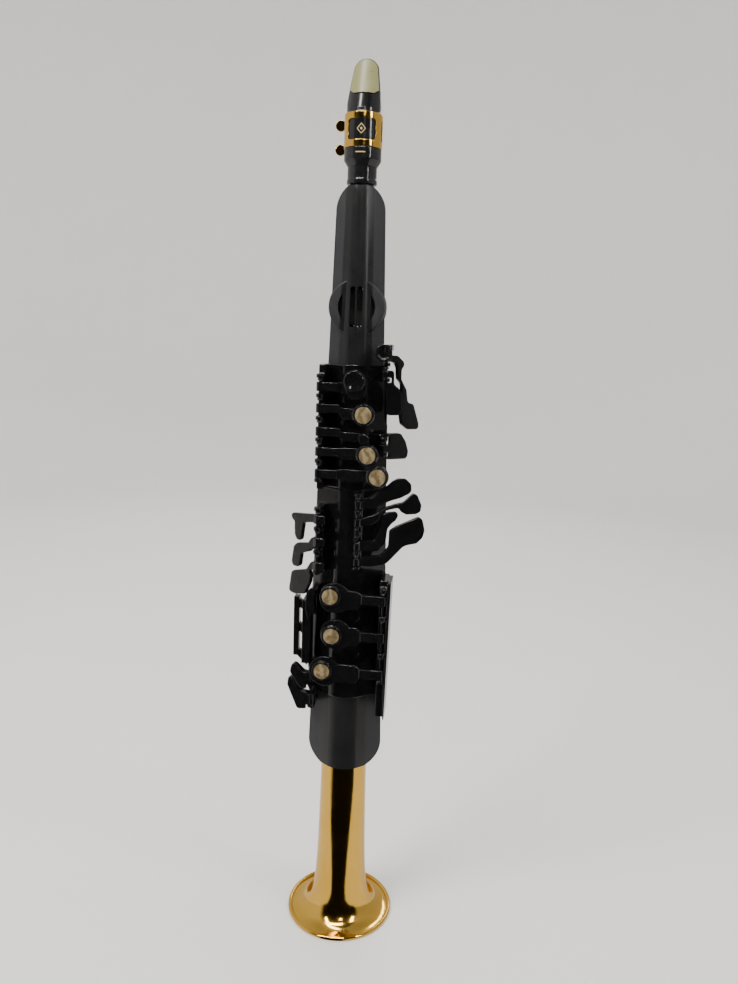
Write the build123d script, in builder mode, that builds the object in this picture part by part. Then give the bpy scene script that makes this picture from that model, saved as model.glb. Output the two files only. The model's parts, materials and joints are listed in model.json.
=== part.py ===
"""Straight digital saxophone: moulded casing, brass bell, mouthpiece and sprung keys.

Frame: the origin is the centre of the bell's rim, +Z runs along the instrument to the mouthpiece,
-Y is the front, where the keys are, and +X is to the right of someone who faces that front.
Lengths are millimetres and angles are degrees.
"""

import os
from math import acos, atan2, cos, degrees, exp, hypot, radians, sin, sqrt, tan

from build123d import *

os.makedirs("parts", exist_ok=True)

# ---------------------------------------------------------------- driving dimensions: casing
casing_bottom = 144.0
casing_top = 608.0
half_width_bottom = 31.2
half_width_top = 18.0
ridge_radius_bottom = 20.4
ridge_radius_top = 11.4
casing_wall = 2.0
edge_thickness = 3.0
bottom_shoulder = 19.0
top_shoulder = 17.0
bottom_flat = 37.0
top_flat = 18.0
slip = 0.05  # clearance on each side between pieces that only slide together
panel_gap = 0.2  # clearance all round a cover, button or window in its opening

# ---------------------------------------------------------------- driving dimensions: bell
rim_radius = 45.6
rim_bead_radius = 1.7
rim_flat_depth = 0.25
bell_tube_radius = 19.2
bell_taper = 0.016
bell_flare_length = 6.5
bell_flare_power = 0.65
bell_wall = 0.8
spigot_radius = 17.0
spigot_length = 15.0

# ---------------------------------------------------------------- driving dimensions: neck and mouthpiece
neck_flange_height = 1.6
neck_flange_radius = 9.0
tenon_radius = 7.3
tenon_length = 20.0
tenon_bore = 2.6
cork_thickness = 0.8
cork_length = 14.0
mouthpiece_length = 89.4
shank_radius = 11.3
shank_length = 12.2
shoulder_length = 4.4
shank_ring_height = 3.0
mouthpiece_radius = 13.3
shoulder_radius = 13.8
chamber_radius = 6.2
table_offset = 10.0
tip_opening = 1.5
beak_start = 51.0
beak_crown = 15.0  # radius across the beak's slope
patch_thickness = 0.7
beak_front = 12.6
reed_start = 21.4
reed_width = 16.0
reed_tip = 0.3
ligature_low = 24.85
ligature_height = 23.4
ligature_thickness = 0.8
pull_off = 30.0

# ---------------------------------------------------------------- driving dimensions: keywork
upper_bed_low = 382.0
upper_bed_high = 478.0
lower_bed_low = 209.0
bed_thickness = 3.5
key_gap = 5.2
arm_thickness = 3.0
lever_back = 1.9
rod_radius = 1.1
barrel_radius = 2.9
running = 0.04  # radial clearance of a key's barrel on its rod
post_width = 3.0
end_gap = 0.35
spring_room = 2.6
cup_radius = 8.6
pearl_radius = 6.3
pearl_thickness = 1.6
seat_depth = 1.1
big_cup_radius = 12.5
key_press = 5.0

# ---------------------------------------------------------------- driving dimensions: electronics and hand supports
speaker_height = 521.0
speaker_ring_radius = 21.5
speaker_ring_half = 10.0
driver_radius = 14.0
battery_radius = 5.25
battery_length = 44.5
battery_low = 176.0
socket_height = 166.5
hook_height = 292.0
strap_height = 398.0
strap_hole_radius = 5.0
octave_height = 468.0


# ---------------------------------------------------------------- casing geometry
def along(z, bottom, top):
    """A size that changes evenly from the casing's bottom to its top, at height z."""
    return bottom + (top - bottom) * (z - casing_bottom) / (casing_top - casing_bottom)


def ridge_radius(z):
    return along(z, ridge_radius_bottom, ridge_radius_top)


def half_width(z):
    return along(z, half_width_bottom, half_width_top)


def casing_section(z, inset):
    """Round ridge front and back, with flat wings that run off it to a thin edge at each side."""
    width, edge, radius = half_width(z), edge_thickness / 2, ridge_radius(z)
    turn = atan2(edge, width) + acos(radius / hypot(width, edge))
    x_edge, y_edge = width - inset, edge - inset * tan(turn / 2)
    x_tan, y_tan = (radius - inset) * cos(turn), (radius - inset) * sin(turn)
    with BuildSketch(Plane.XY.offset(z)) as section:
        with BuildLine():
            Line((x_edge, -y_edge), (x_edge, y_edge))
            Line((x_edge, y_edge), (x_tan, y_tan))
            ThreePointArc((x_tan, y_tan), (0, radius - inset), (-x_tan, y_tan))
            Line((-x_tan, y_tan), (-x_edge, y_edge))
            Line((-x_edge, y_edge), (-x_edge, -y_edge))
            Line((-x_edge, -y_edge), (-x_tan, -y_tan))
            ThreePointArc((-x_tan, -y_tan), (0, inset - radius), (x_tan, -y_tan))
            Line((x_tan, -y_tan), (x_edge, -y_edge))
        make_face()
    return section.sketch


def casing_blank(inset=0.0):
    """The casing's full-length form, before its ends are rounded."""
    low, high = casing_section(casing_bottom, inset), casing_section(casing_top, inset)
    with BuildPart() as blank:
        loft([low.face(), high.face()], ruled=True)
    return blank.part


def casing_outline(inset=0.0):
    """The front silhouette, with a shoulder arc at each corner, as a block through the casing."""
    low, high = casing_bottom + inset, casing_top - inset
    low_side, high_side = casing_bottom + bottom_shoulder, casing_top - top_shoulder
    wide_low, wide_high = half_width(low_side) - inset, half_width(high_side) - inset
    flat_low, flat_high = bottom_flat / 2 - inset, top_flat / 2 - inset
    with BuildPart() as block:
        with BuildSketch(Plane.XZ):
            with BuildLine() as right:
                Line((0, low), (flat_low, low))
                bulge_low = (flat_low + 0.72 * (wide_low - flat_low), low + 0.34 * (low_side - low))
                ThreePointArc((flat_low, low), bulge_low, (wide_low, low_side))
                Line((wide_low, low_side), (wide_high, high_side))
                bulge_high = (flat_high + 0.66 * (wide_high - flat_high), high - 0.36 * (high - high_side))
                ThreePointArc((wide_high, high_side), bulge_high, (flat_high, high))
                Line((flat_high, high), (0, high))
                mirror(about=Plane.YZ)
            make_face()
        extrude(amount=2 * half_width_bottom, both=True)
    return block.part


outer_blank = casing_blank()
inner_blank = casing_blank(casing_wall)
outer_block = casing_outline()
inner_block = casing_outline(casing_wall)


def save(piece, name):
    piece.label = name
    export_step(piece, f"parts/{name}.step")


# ---------------------------------------------------------------- rods that the keys turn on
bed_front_upper = ridge_radius(upper_bed_low) + bed_thickness
bed_front_lower = ridge_radius(lower_bed_low) + bed_thickness
upper_level = bed_front_upper + key_gap  # how far in front of the axis the arms' backs lie
lower_level = bed_front_lower + key_gap


class Rod:
    """A straight steel rod parallel to Z, with the heights of the barrels that turn on it."""

    def __init__(self, x, y, barrels, barrel_length):
        self.x, self.y, self.barrels, self.length = x, y, sorted(barrels), barrel_length

    def posts(self):
        """Heights of the posts: one at each end and one between neighbours."""
        step = self.length / 2 + end_gap + post_width / 2
        ends = [self.barrels[0] - step, self.barrels[-1] + step + spring_room]
        pairs = zip(self.barrels, self.barrels[1:])
        return [ends[0], *[(a + spring_room + b) / 2 for a, b in pairs], ends[1]]

    def low(self):
        return self.posts()[0] - post_width / 2

    def high(self):
        return self.posts()[-1] + post_width / 2


rods = {
    "upper": Rod(-23.5, -(upper_level + arm_thickness / 2), [395.1, 412.2, 427.6, 445.3, 461.5], 7.0),
    "palm_high": Rod(25.0, -17.0, [472.6, 483.6], 6.0),
    "palm_low": Rod(25.0, -17.0, [415.5], 6.0),
    "table": Rod(8.0, -(bed_front_upper + key_gap), [326.0, 338.4, 357.8, 371.8], 6.4),
    "side": Rod(-23.5, -24.0, [320.6, 340.4, 358.4], 7.4),
    "trill": Rod(-25.0, -21.0, [289.0], 12.0),
    "lower": Rod(30.5, -(lower_level + arm_thickness / 2), [235.3, 266.5, 297.1], 8.0),
    "foot": Rod(-26.5, -19.3, [205.5, 225.5], 9.0),
}


def facing(x, y, z):
    """A plane at a point that faces forward, for round pieces whose axis runs front to back."""
    return Plane(origin=(x, y, z), x_dir=(1, 0, 0), z_dir=(0, -1, 0))


def disc(x, y_back, z, radius, depth):
    """A disc whose back is at y_back and whose front is depth further forward."""
    with BuildPart() as piece:
        with BuildSketch(facing(x, y_back, z)):
            Circle(radius)
        extrude(amount=depth)
    return piece.part


def rod_block(rod, x_low, x_high, y_back, z_low=None, z_high=None):
    """The wall that a rod's posts stand on, from y_back out to just behind the barrels."""
    z_low, z_high = z_low or rod.low(), z_high or rod.high()
    y_front = rod.y + barrel_radius + 0.6
    with BuildPart() as block:
        with Locations(((x_low + x_high) / 2, (y_front + y_back) / 2, (z_low + z_high) / 2)):
            Box(x_high - x_low, y_back - y_front, z_high - z_low)
        for height in rod.posts():
            with Locations((rod.x, (rod.y + y_front) / 2, height)):
                Box(2 * barrel_radius + 0.4, y_front - rod.y, post_width)
            with Locations((rod.x, rod.y, height)):
                Cylinder(barrel_radius + 0.2, post_width)
        bore_length = rod.high() - rod.low() + 2
        with Locations((rod.x, rod.y, (rod.low() + rod.high()) / 2)):
            Cylinder(rod_radius, bore_length, mode=Mode.SUBTRACT)
    return block.part


# ---------------------------------------------------------------- key beds with their posts
def zone(z_low, z_high, y_low=-60.0, y_high=-3.0):
    """A block in front of the casing's edges, between two heights."""
    middle = ((y_low + y_high) / 2, (z_low + z_high) / 2)
    return Pos(0, middle[0], middle[1]) * Box(120, y_high - y_low, z_high - z_low)


bed_blank = casing_blank(-bed_thickness)

with BuildPart() as upper_key_bed:
    add(bed_blank)
    add(zone(upper_bed_low, upper_bed_high), mode=Mode.INTERSECT)
    add(rod_block(rods["upper"], -25.4, -20.4, -2.0, upper_bed_low, upper_bed_high))
    add(rod_block(rods["palm_high"], 21.8, 25.3, -4.0))
    add(rod_block(rods["palm_low"], 21.8, 25.3, -4.0))
    with Locations((25.7, -15.6, 491.9)):
        Box(7.8, 13.4, 4.6)
    add(disc(23.4, -20.7, 487.8, 6.4, 3.8))
    add(disc(23.4, -22.9, 487.8, 4.6, 3.0), mode=Mode.SUBTRACT)
    with Locations((27.0, -21.6, 491.4)):
        Box(5.2, 3.8, 5.6)
    with Locations((rods["palm_high"].x, rods["palm_high"].y, 480.0)):
        Cylinder(rod_radius, 2 * (rods["palm_high"].high() - 480.0), mode=Mode.SUBTRACT)
    add(outer_blank, mode=Mode.SUBTRACT)
save(upper_key_bed.part, "upper_key_bed")

with BuildPart() as lower_key_bed:
    add(bed_blank)
    add(zone(lower_bed_low, upper_bed_low), mode=Mode.INTERSECT)
    add(rod_block(rods["lower"], 27.2, 33.4, -4.0, 197.0, 312.0))
    with BuildSketch(Plane.XZ.offset(8.0)):
        Polygon((33.2, 197), (34.9, 197), (36.6, 312), (33.2, 312), align=None)
    extrude(amount=17.0)
    with BuildSketch(Plane.XZ.offset(25.0)):
        Polygon((33.8, 197), (34.9, 197), (36.6, 312), (33.8, 312), align=None)
    extrude(amount=6.4)
    add(rod_block(rods["side"], -25.0, -19.5, -4.0))
    add(rod_block(rods["trill"], -27.5, -22.5, -6.0))
    add(rod_block(rods["foot"], -29.0, -23.5, -4.0))
    add(rod_block(rods["table"], 5.5, 10.5, -10.0))
    add(outer_blank, mode=Mode.SUBTRACT)
save(lower_key_bed.part, "lower_key_bed")

# ---------------------------------------------------------------- rods and springs
with BuildPart() as hinge_rods:
    for rod in rods.values():
        with Locations((rod.x, rod.y, (rod.low() + rod.high()) / 2)):
            Cylinder(rod_radius, rod.high() - rod.low())
save(hinge_rods.part, "hinge_rods")

with BuildPart() as key_springs:
    for rod in rods.values():
        for post in rod.posts()[1:]:
            coil_length = spring_room - 0.4
            with Locations((rod.x, rod.y, post - post_width / 2 - coil_length / 2)):
                Cylinder(barrel_radius - 0.4, coil_length)
                Cylinder(rod_radius + 0.4, coil_length, mode=Mode.SUBTRACT)
save(key_springs.part, "key_springs")


# ---------------------------------------------------------------- keys
def lever_plane(rod, turn):
    """A plane through a rod, facing forward and turned about it, whose local axes are (across, up)."""
    away, front = (cos(radians(turn)), sin(radians(turn)), 0), (sin(radians(turn)), -cos(radians(turn)), 0)
    return Plane(origin=(rod.x, rod.y, 0), x_dir=away, z_dir=front)


def rounded_face(outline, rounding):
    """Close an outline into a face, rounding each corner as far as its neighbours leave room."""
    corners = []
    for before, corner, after in zip(outline[-1:] + outline[:-1], outline, outline[1:] + outline[:1]):
        a, p, b = Vector(*before), Vector(*corner), Vector(*after)
        to_a, to_b = (a - p).normalized(), (b - p).normalized()
        half = radians(to_a.get_angle(to_b)) / 2
        run = min(rounding / tan(half), 0.44 * (a - p).length, 0.44 * (b - p).length)
        radius = run * tan(half)
        inward = (to_a + to_b).normalized() * (radius / sin(half) - radius)
        corners.append((p + to_a * run, p + inward, p + to_b * run))
    for (start, middle, end), (following, _, _) in zip(corners, corners[1:] + corners[:1]):
        ThreePointArc(start, middle, end)
        Line(end, following)


def lever(rod, turn, outline, thickness=arm_thickness, rounding=3.0):
    """A lever cut to an outline on a plane through its rod, thickened mostly toward the front."""
    with BuildPart() as plate:
        with BuildSketch(lever_plane(rod, turn).offset(-lever_back)):
            with BuildLine():
                rounded_face(outline, rounding)
            make_face()
        extrude(amount=thickness)
    return plate.part


def finish_key(blank, rod, height, name):
    """Add the barrel, clear the neighbouring posts and bore the key for its rod."""
    with BuildPart() as key:
        add(blank)
        with Locations((rod.x, rod.y, height)):
            Cylinder(barrel_radius, rod.length)
        for post in rod.posts():
            with Locations((rod.x, rod.y, post - spring_room / 2 if post > height else post)):
                reach = post_width + 2 * end_gap + (spring_room if post > height else 0)
                Cylinder(barrel_radius + 2.2, reach, mode=Mode.SUBTRACT)
        with Locations((rod.x, rod.y, height)):
            Cylinder(rod_radius + running, 4 * rod.length, mode=Mode.SUBTRACT)
    save(key.part, name)
    return key.part


def pearl(x, y_seat, z, name):
    """A slightly domed touchpiece resting on its seat."""
    dome = 26.0
    with BuildPart() as piece:
        add(disc(x, y_seat, z, pearl_radius, pearl_thickness))
        with Locations((x, y_seat - pearl_thickness + dome, z)):
            Sphere(dome, mode=Mode.INTERSECT)
    save(piece.part, name)


def bar_arm(rod, height, x_knuckle, x_cup, z_cup, reach, half_height, level):
    """A key's arm: a narrow bar from the rod, then a wider plate that runs out to its cup."""
    side = 1 if x_cup > rod.x else -1
    half_bar = rod.length / 2 - 0.2
    outline = [(rod.x, height - half_bar), (x_knuckle, height - half_bar),
               (x_knuckle + side * 3.5, z_cup - half_height), (x_cup, z_cup - half_height),
               (x_cup, z_cup + half_height), (x_knuckle + side * 3.5, z_cup + half_height),
               (x_knuckle, height + half_bar), (rod.x, height + half_bar)]
    with BuildPart() as arm:
        with BuildSketch(facing(0, -level, 0)):
            with BuildLine():
                Polyline(*outline, close=True)
            make_face()
        extrude(amount=arm_thickness)
        mid = (rod.x + x_knuckle) / 2
        with Locations((mid, -level - arm_thickness - 0.5, height)):
            Box(abs(x_knuckle - rod.x), 1.0, 2 * half_bar)
    return arm.part


stack_keys = {  # name: (height on the rod, touch x, touch z, half the arm's width)
    "b_key": (445.3, 10.2, 441.6, 4.4),
    "a_key": (412.2, 14.2, 411.2, 4.6),
    "g_key": (395.1, 22.5, 394.7, 4.6),
}
cup_front = -upper_level - arm_thickness - 2.6
for name, (height, x, z, half_arm) in stack_keys.items():
    rod = rods["upper"]
    with BuildPart() as blank:
        add(bar_arm(rod, height, -9.0, x - 4, z, cup_radius, half_arm, upper_level))
        add(disc(x, -upper_level, z, cup_radius, arm_thickness + 0.6))
        add(disc(x, -upper_level, z, cup_radius - 0.9, -cup_front - upper_level))
        add(disc(x, cup_front + seat_depth, z, pearl_radius + slip, seat_depth + 1), mode=Mode.SUBTRACT)
    finish_key(blank.part, rod, height, name)
    pearl(x, cup_front + seat_depth, z, name.replace("key", "pearl"))

with BuildPart() as blank:
    add(bar_arm(rods["upper"], 427.6, -9.0, 8.0, 424.5, 0, 3.4, upper_level))
    add(disc(11.2, -upper_level, 423.5, 3.9, arm_thickness + 3.0))
finish_key(blank.part, rods["upper"], 427.6, "bis_key")

with BuildPart() as blank:
    add(bar_arm(rods["upper"], 461.5, -9.0, 0.0, 461.0, 0, 4.4, upper_level))
    with BuildSketch(facing(0, -upper_level, 0)):
        with Locations((2.8, 466.3)):
            Circle(8.6)
        with Locations((4.4, 459.6)):
            Circle(7.2)
        make_hull()
    extrude(amount=arm_thickness + 1.4)
    add(disc(2.8, -upper_level, 466.5, 7.6, arm_thickness + 4.6))
    with Locations((2.8, -upper_level - arm_thickness - 4.6 - 14.0, 466.5)):
        Sphere(15.4, mode=Mode.SUBTRACT)
finish_key(blank.part, rods["upper"], 461.5, "front_f_key")

lower_cup_front = -lower_level - arm_thickness - 2.6
lower_keys = {  # name: (height on the rod, cup x, cup z, touch x, touch z)
    "f_key": (297.1, -7.3, 296.9, -11.0, 298.6),
    "e_key": (266.5, -5.8, 266.7, -9.2, 266.0),
    "d_key": (235.3, -14.2, 235.0, -16.2, 235.7),
}
for name, (height, cup_x, cup_z, x, z) in lower_keys.items():
    rod = rods["lower"]
    with BuildPart() as blank:
        add(bar_arm(rod, height, 14.0, cup_x + 6, cup_z - 1.0, big_cup_radius, 7.6, lower_level))
        add(disc(cup_x, -lower_level, cup_z, big_cup_radius, arm_thickness))
        add(disc(x, -lower_level, z, cup_radius - 0.7, -lower_cup_front - lower_level))
        add(disc(x, lower_cup_front + seat_depth, z, pearl_radius + slip, seat_depth + 1), mode=Mode.SUBTRACT)
    finish_key(blank.part, rod, height, name)
    pearl(x, lower_cup_front + seat_depth, z, name.replace("key", "pearl"))

levers = {  # name: (rod, turn, height on the rod, outline of (across, up) points)
    "g_sharp_key": ("table", 15, 371.8, [
        (0, 374.8), (2, 377.3), (11.2, 377.8), (19.2, 384.0), (27.1, 391.0), (30.4, 392.7), (36.6, 392.7),
        (40.8, 388.6), (41.4, 383.6), (40.0, 381.2), (33.1, 377.6), (25.0, 375.2), (19.6, 372.8),
        (12.6, 369.2), (0, 369.0)]),
    "c_sharp_key": ("table", 15, 357.8, [
        (0, 361.2), (7.1, 362.4), (13.5, 364.4), (19.8, 369.3), (27.9, 372.3), (35.4, 374.0), (43.2, 381.4),
        (46.3, 379.6), (49.8, 372.0), (49.3, 366.8), (45.9, 364.7), (38.0, 364.2), (33.7, 366.4),
        (31.6, 369.6), (25.0, 368.3), (19.8, 366.7), (17.0, 364.4), (16.2, 359.6), (10.7, 356.0), (0, 354.8)]),
    "low_b_key": ("table", 15, 338.4, [
        (0, 341.5), (2, 343.6), (13.9, 343.6), (18.9, 356.0), (18.6, 363.4), (20.6, 365.2), (24.5, 366.1),
        (30.4, 366.6), (31.8, 363.4), (29.6, 359.4), (26.4, 356.8), (23.6, 353.0), (23.0, 347.0),
        (22.5, 341.2), (19.1, 337.8), (16.8, 334.8), (0, 335.2)]),
    "low_bb_key": ("table", 15, 326.0, [
        (0, 329.2), (2, 330.9), (18.8, 331.0), (24.9, 338.0), (25.2, 343.0), (25.2, 351.2), (30.0, 354.6),
        (43.6, 360.4), (48.3, 362.5), (51.2, 360.2), (53.4, 351.5), (51.9, 345.7),
        (47.3, 340.9), (38.8, 339.3), (36.2, 338.0), (24.3, 325.3), (21.5, 324.0), (11.2, 322.3),
        (0, 322.8)]),
    "side_e_key": ("side", -25, 358.4, [
        (0, 361.8), (-3.3, 362.2), (-14.0, 361.2), (-24.1, 360.4), (-24.0, 356.7), (-20.9, 353.8),
        (-20.7, 343.8), (-18.6, 339.1), (-14.1, 339.0), (-13.2, 345.0), (-11.9, 354.3), (-3.1, 355.5),
        (0, 355.0)]),
    "side_c_key": ("side", -25, 340.4, [
        (0, 343.6), (-4.5, 343.4), (-7.5, 338.4), (-18.6, 336.6), (-21.5, 333.5), (-23.3, 321.3),
        (-22.2, 317.2), (-15.1, 316.9), (-13.4, 329.0), (-4.0, 332.2), (0, 337.0)]),
    "side_bb_key": ("side", -25, 320.6, [
        (0, 323.8), (-4.5, 323.6), (-8.8, 316.6), (-12.6, 315.4), (-23.2, 312.8), (-25.9, 295.0),
        (-18.7, 293.8), (-9.6, 295.7), (-4.8, 306.1), (-3.4, 315.0), (0, 317.2)]),
    "palm_d_key": ("palm_high", 20, 472.6, [
        (0, 475.4), (5.4, 475.3), (5.8, 464.6), (9.1, 462.6), (12.2, 457.6), (12.6, 447.3), (11.6, 441.4),
        (0.6, 441.3), (-0.3, 462.0), (0.2, 469.8)]),
    "palm_eb_key": ("palm_high", 35, 483.6, [
        (0, 486.4), (9.0, 486.2), (14.8, 481.4), (14.9, 478.2), (12.8, 476.0), (12.8, 468.6),
        (17.9, 460.4), (19.4, 450.8), (24.6, 449.6), (30.0, 434.8), (30.1, 429.6), (20.3, 429.8),
        (14.6, 433.9), (13.3, 440.0), (13.3, 464.5), (9.4, 469.0), (8.8, 477.0), (6.8, 480.8),
        (0, 480.8)]),
    "palm_f_key": ("palm_low", 35, 415.5, [
        (-2.8, 418.0), (1.7, 427.4), (13.2, 427.4), (17.9, 420.9), (20.5, 413.2), (19.5, 407.2),
        (2.2, 407.2), (-2.8, 413.4)]),
    "low_eb_key": ("foot", -10, 225.5, [
        (0, 229.6), (-6.2, 229.4), (-15.6, 237.4), (-17.6, 227.8), (-8.0, 214.6), (-1.8, 215.2),
        (0, 221.4)]),
    "low_c_key": ("foot", -10, 205.5, [
        (0, 209.6), (-3.0, 211.8), (-7.8, 212.2), (-18.6, 226.0), (-19.6, 216.2), (-10.6, 196.1),
        (-3.1, 197.4), (0, 201.4)]),
}
pad_thickness = {"palm_d_key": 6.0, "palm_f_key": 6.0, "low_eb_key": 6.5, "low_c_key": 6.5}
for name, (rod_name, turn, height, outline) in levers.items():
    rod = rods[rod_name]
    with BuildPart() as blank:
        add(lever(rod, turn, outline, pad_thickness.get(name, 4.0)))
        if rod_name == "side":
            with Locations((rod.x + 3.0, rod.y - 3.4, height + 0.5)):
                Box(7.0, 4.4, 6.8)
    finish_key(blank.part, rod, height, name)

leaf_outline = [(1.6, 303.3), (-2.4, 303.2), (-5.6, 299.0), (-6.1, 285.4), (-3.3, 275.1), (0.6, 282.7)]
with BuildPart() as blank:
    with BuildSketch(facing(rods["trill"].x, rods["trill"].y - 5.4, 0)):
        with BuildLine():
            rounded_face(leaf_outline, 2.0)
        make_face()
    extrude(amount=2.4)
    with Locations((rods["trill"].x - 0.4, rods["trill"].y - 3.4, 289.0)):
        Box(3.6, 5.0, 9.0)
finish_key(blank.part, rods["trill"], 289.0, "high_f_sharp_key")

# ---------------------------------------------------------------- low key guard at the left
guard_x_in, guard_x_out = -31.4, -40.6
with BuildPart() as low_key_bracket:
    with Locations((guard_x_in, -14.5, 263.5)):
        Box(7.0, 14.0, 54.0)
    with Locations((guard_x_out, -12.5, 265.8)):
        Box(4.6, 7.0, 50.4)
    for high_out, high_in in ((290.5, 283.5), (271.0, 261.5), (247.5, 239.0)):
        with BuildSketch(facing(0, -9.4, 0)):
            with BuildLine():
                Polyline((guard_x_out, high_out), (guard_x_in, high_in), (guard_x_in, high_in - 7.4),
                         (guard_x_out, high_out - 6.4), close=True)
            make_face()
        extrude(amount=5.4)
    add(outer_blank, mode=Mode.SUBTRACT)
    add(lower_key_bed.part, mode=Mode.SUBTRACT)
save(low_key_bracket.part, "low_key_bracket")


# ---------------------------------------------------------------- rear fittings: shared shapes
def rear(x, y, z):
    """A plane at a point that faces backward, for round pieces whose axis runs back to front."""
    return Plane(origin=(x, y, z), x_dir=(-1, 0, 0), z_dir=(0, 1, 0))


def rear_disc(x, y_front, z, radius, depth):
    """A disc whose front is at y_front and whose back is depth further back."""
    with BuildPart() as piece:
        with BuildSketch(rear(x, y_front, z)):
            Circle(radius)
        extrude(amount=depth)
    return piece.part


cover_low, cover_high, cover_half = 173.0, 268.0, 12.5
track_height = 331.0
knob_height, power_height, window_height = 352.0, 366.0, 381.0
window_half, window_tall = 6.0, 8.0
knob_radius, power_radius = 5.0, 3.2
screw_places = [(17.0, 188.0), (15.5, 312.0), (13.5, 436.0), (12.6, 568.0)]
screw_radius, screw_head = 1.2, 2.3
board_back = 3.4
board_thickness = 1.6


def rear_depth(x, z, inset=0.0):
    """How far back the casing's surface lies at a place on the ridge or a wing."""
    width, edge, radius = half_width(z), edge_thickness / 2, ridge_radius(z)
    turn = atan2(edge, width) + acos(radius / hypot(width, edge))
    if abs(x) <= radius * cos(turn):
        return sqrt((radius - inset) ** 2 - x * x)
    return (radius - abs(x) * cos(turn)) / sin(turn) - inset / sin(turn)


# ---------------------------------------------------------------- casing shells
def speaker_slots(depth=80.0):
    """Two upright slots in the ridge and a crescent slot at each side."""
    with BuildPart() as slots:
        with BuildSketch(Plane.XZ):
            with Locations((-2.7, speaker_height), (2.7, speaker_height)):
                SlotOverall(30.0, 4.0, rotation=90)
        extrude(amount=depth / 2, both=True)
        for side in (-1, 1):
            with BuildSketch(Plane.XZ):
                with Locations((0, speaker_height)):
                    Circle(14.2)
                with Locations((side * -9.1, speaker_height)):
                    Rectangle(40.0, 40.0, mode=Mode.SUBTRACT)
            extrude(amount=depth / 2, both=True)
    return slots.part


slots = speaker_slots()
front_half = Pos(0, -40, 376) * Box(120, 80, 520)
rear_half = Pos(0, 40, 376) * Box(120, 80, 520)
shell_blank = outer_blank & outer_block
room = inner_blank & inner_block

with BuildPart() as neck_hole:
    with Locations((0, 0, casing_top - 1)):
        Cylinder(tenon_radius + slip, 10)
    with Locations((0, 0, casing_bottom + 1)):
        Cylinder(spigot_radius + slip, 10)

with BuildPart() as bosses:
    for x, z in screw_places:
        for side in (-1, 1):
            with BuildSketch(Plane.XZ):
                with Locations((side * x, z)):
                    Circle(screw_radius + 1.8)
            extrude(amount=40, both=True)
    add(shell_blank, mode=Mode.INTERSECT)

with BuildPart() as casing_front:
    add(shell_blank)
    add(room, mode=Mode.SUBTRACT)
    add(bosses.part)
    for z in (215.0, 300.0, 385.0, 455.0):
        with BuildSketch(facing(0, board_back - board_thickness, z)):
            Circle(2.5)
        extrude(amount=ridge_radius(z) + board_back - 2.6)
    add(neck_hole.part, mode=Mode.SUBTRACT)
    add(slots & front_half, mode=Mode.SUBTRACT)
    with BuildPart(mode=Mode.PRIVATE) as back_cut:
        with Locations((0, 40, 376)):
            Box(120, 80, 520)
        for z in (215.0, 300.0, 385.0, 455.0):
            add(disc(0, board_back - board_thickness, z, 2.5, 5.0), mode=Mode.SUBTRACT)
    add(back_cut.part, mode=Mode.SUBTRACT)
    for x, z in screw_places:
        for side in (-1, 1):
            add(disc(side * x, 0.0, z, screw_radius, 5.0), mode=Mode.SUBTRACT)
save(casing_front.part, "casing_front")

with BuildPart() as cover_window:
    with Locations((0, 30, (cover_low + cover_high) / 2)):
        Box(2 * cover_half, 40, cover_high - cover_low)

with BuildPart() as casing_rear:
    add(shell_blank)
    add(room, mode=Mode.SUBTRACT)
    add(bosses.part)
    with Locations((0, ridge_radius(track_height) - 2.6, track_height)):
        Box(17.0, 8.0, 26.0)
    add(neck_hole.part, mode=Mode.SUBTRACT)
    add(slots & rear_half, mode=Mode.SUBTRACT)
    add(front_half, mode=Mode.SUBTRACT)
    add(cover_window.part, mode=Mode.SUBTRACT)
    with Locations((0, 18, track_height)):
        Box(3.4, 20, 16.0, mode=Mode.SUBTRACT)
    add(rear_disc(0, 8, knob_height, 1.5 + running, 14), mode=Mode.SUBTRACT)
    add(rear_disc(0, 8, power_height, power_radius + panel_gap, 14), mode=Mode.SUBTRACT)
    with Locations((0, 18, window_height)):
        Box(2 * window_half, 20, window_tall, mode=Mode.SUBTRACT)
    for x in (-6.5, 6.5):
        add(rear_disc(x, 8, socket_height, 3.0, 14), mode=Mode.SUBTRACT)
    for x, z in screw_places:
        for side in (-1, 1):
            add(rear_disc(side * x, -1, z, screw_radius + slip, 40), mode=Mode.SUBTRACT)
            add(rear_disc(side * x, rear_depth(x + screw_head, z) - 0.6, z, screw_head + slip, 40),
                mode=Mode.SUBTRACT)
save(casing_rear.part, "casing_rear")

with BuildPart() as casing_screws:
    for x, z in screw_places:
        for side in (-1, 1):
            head = rear_depth(x + screw_head, z) - 0.6
            add(disc(side * x, head, z, screw_radius, head + 5.0))
            add(rear_disc(side * x, head, z, screw_head, 1.4))
            with Locations((side * x, head + 1.4, z)):
                Box(3.0, 1.2, 0.7, mode=Mode.SUBTRACT)
                Box(0.7, 1.2, 3.0, mode=Mode.SUBTRACT)
save(casing_screws.part, "casing_screws")

# ---------------------------------------------------------------- bell
def bell_radius(z):
    flare = rim_radius - rim_bead_radius - bell_tube_radius - bell_taper * 135
    rise = max(z - rim_bead_radius + rim_flat_depth, 0) / bell_flare_length
    return bell_tube_radius + bell_taper * (135 - z) + flare * exp(-(rise ** bell_flare_power))


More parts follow.
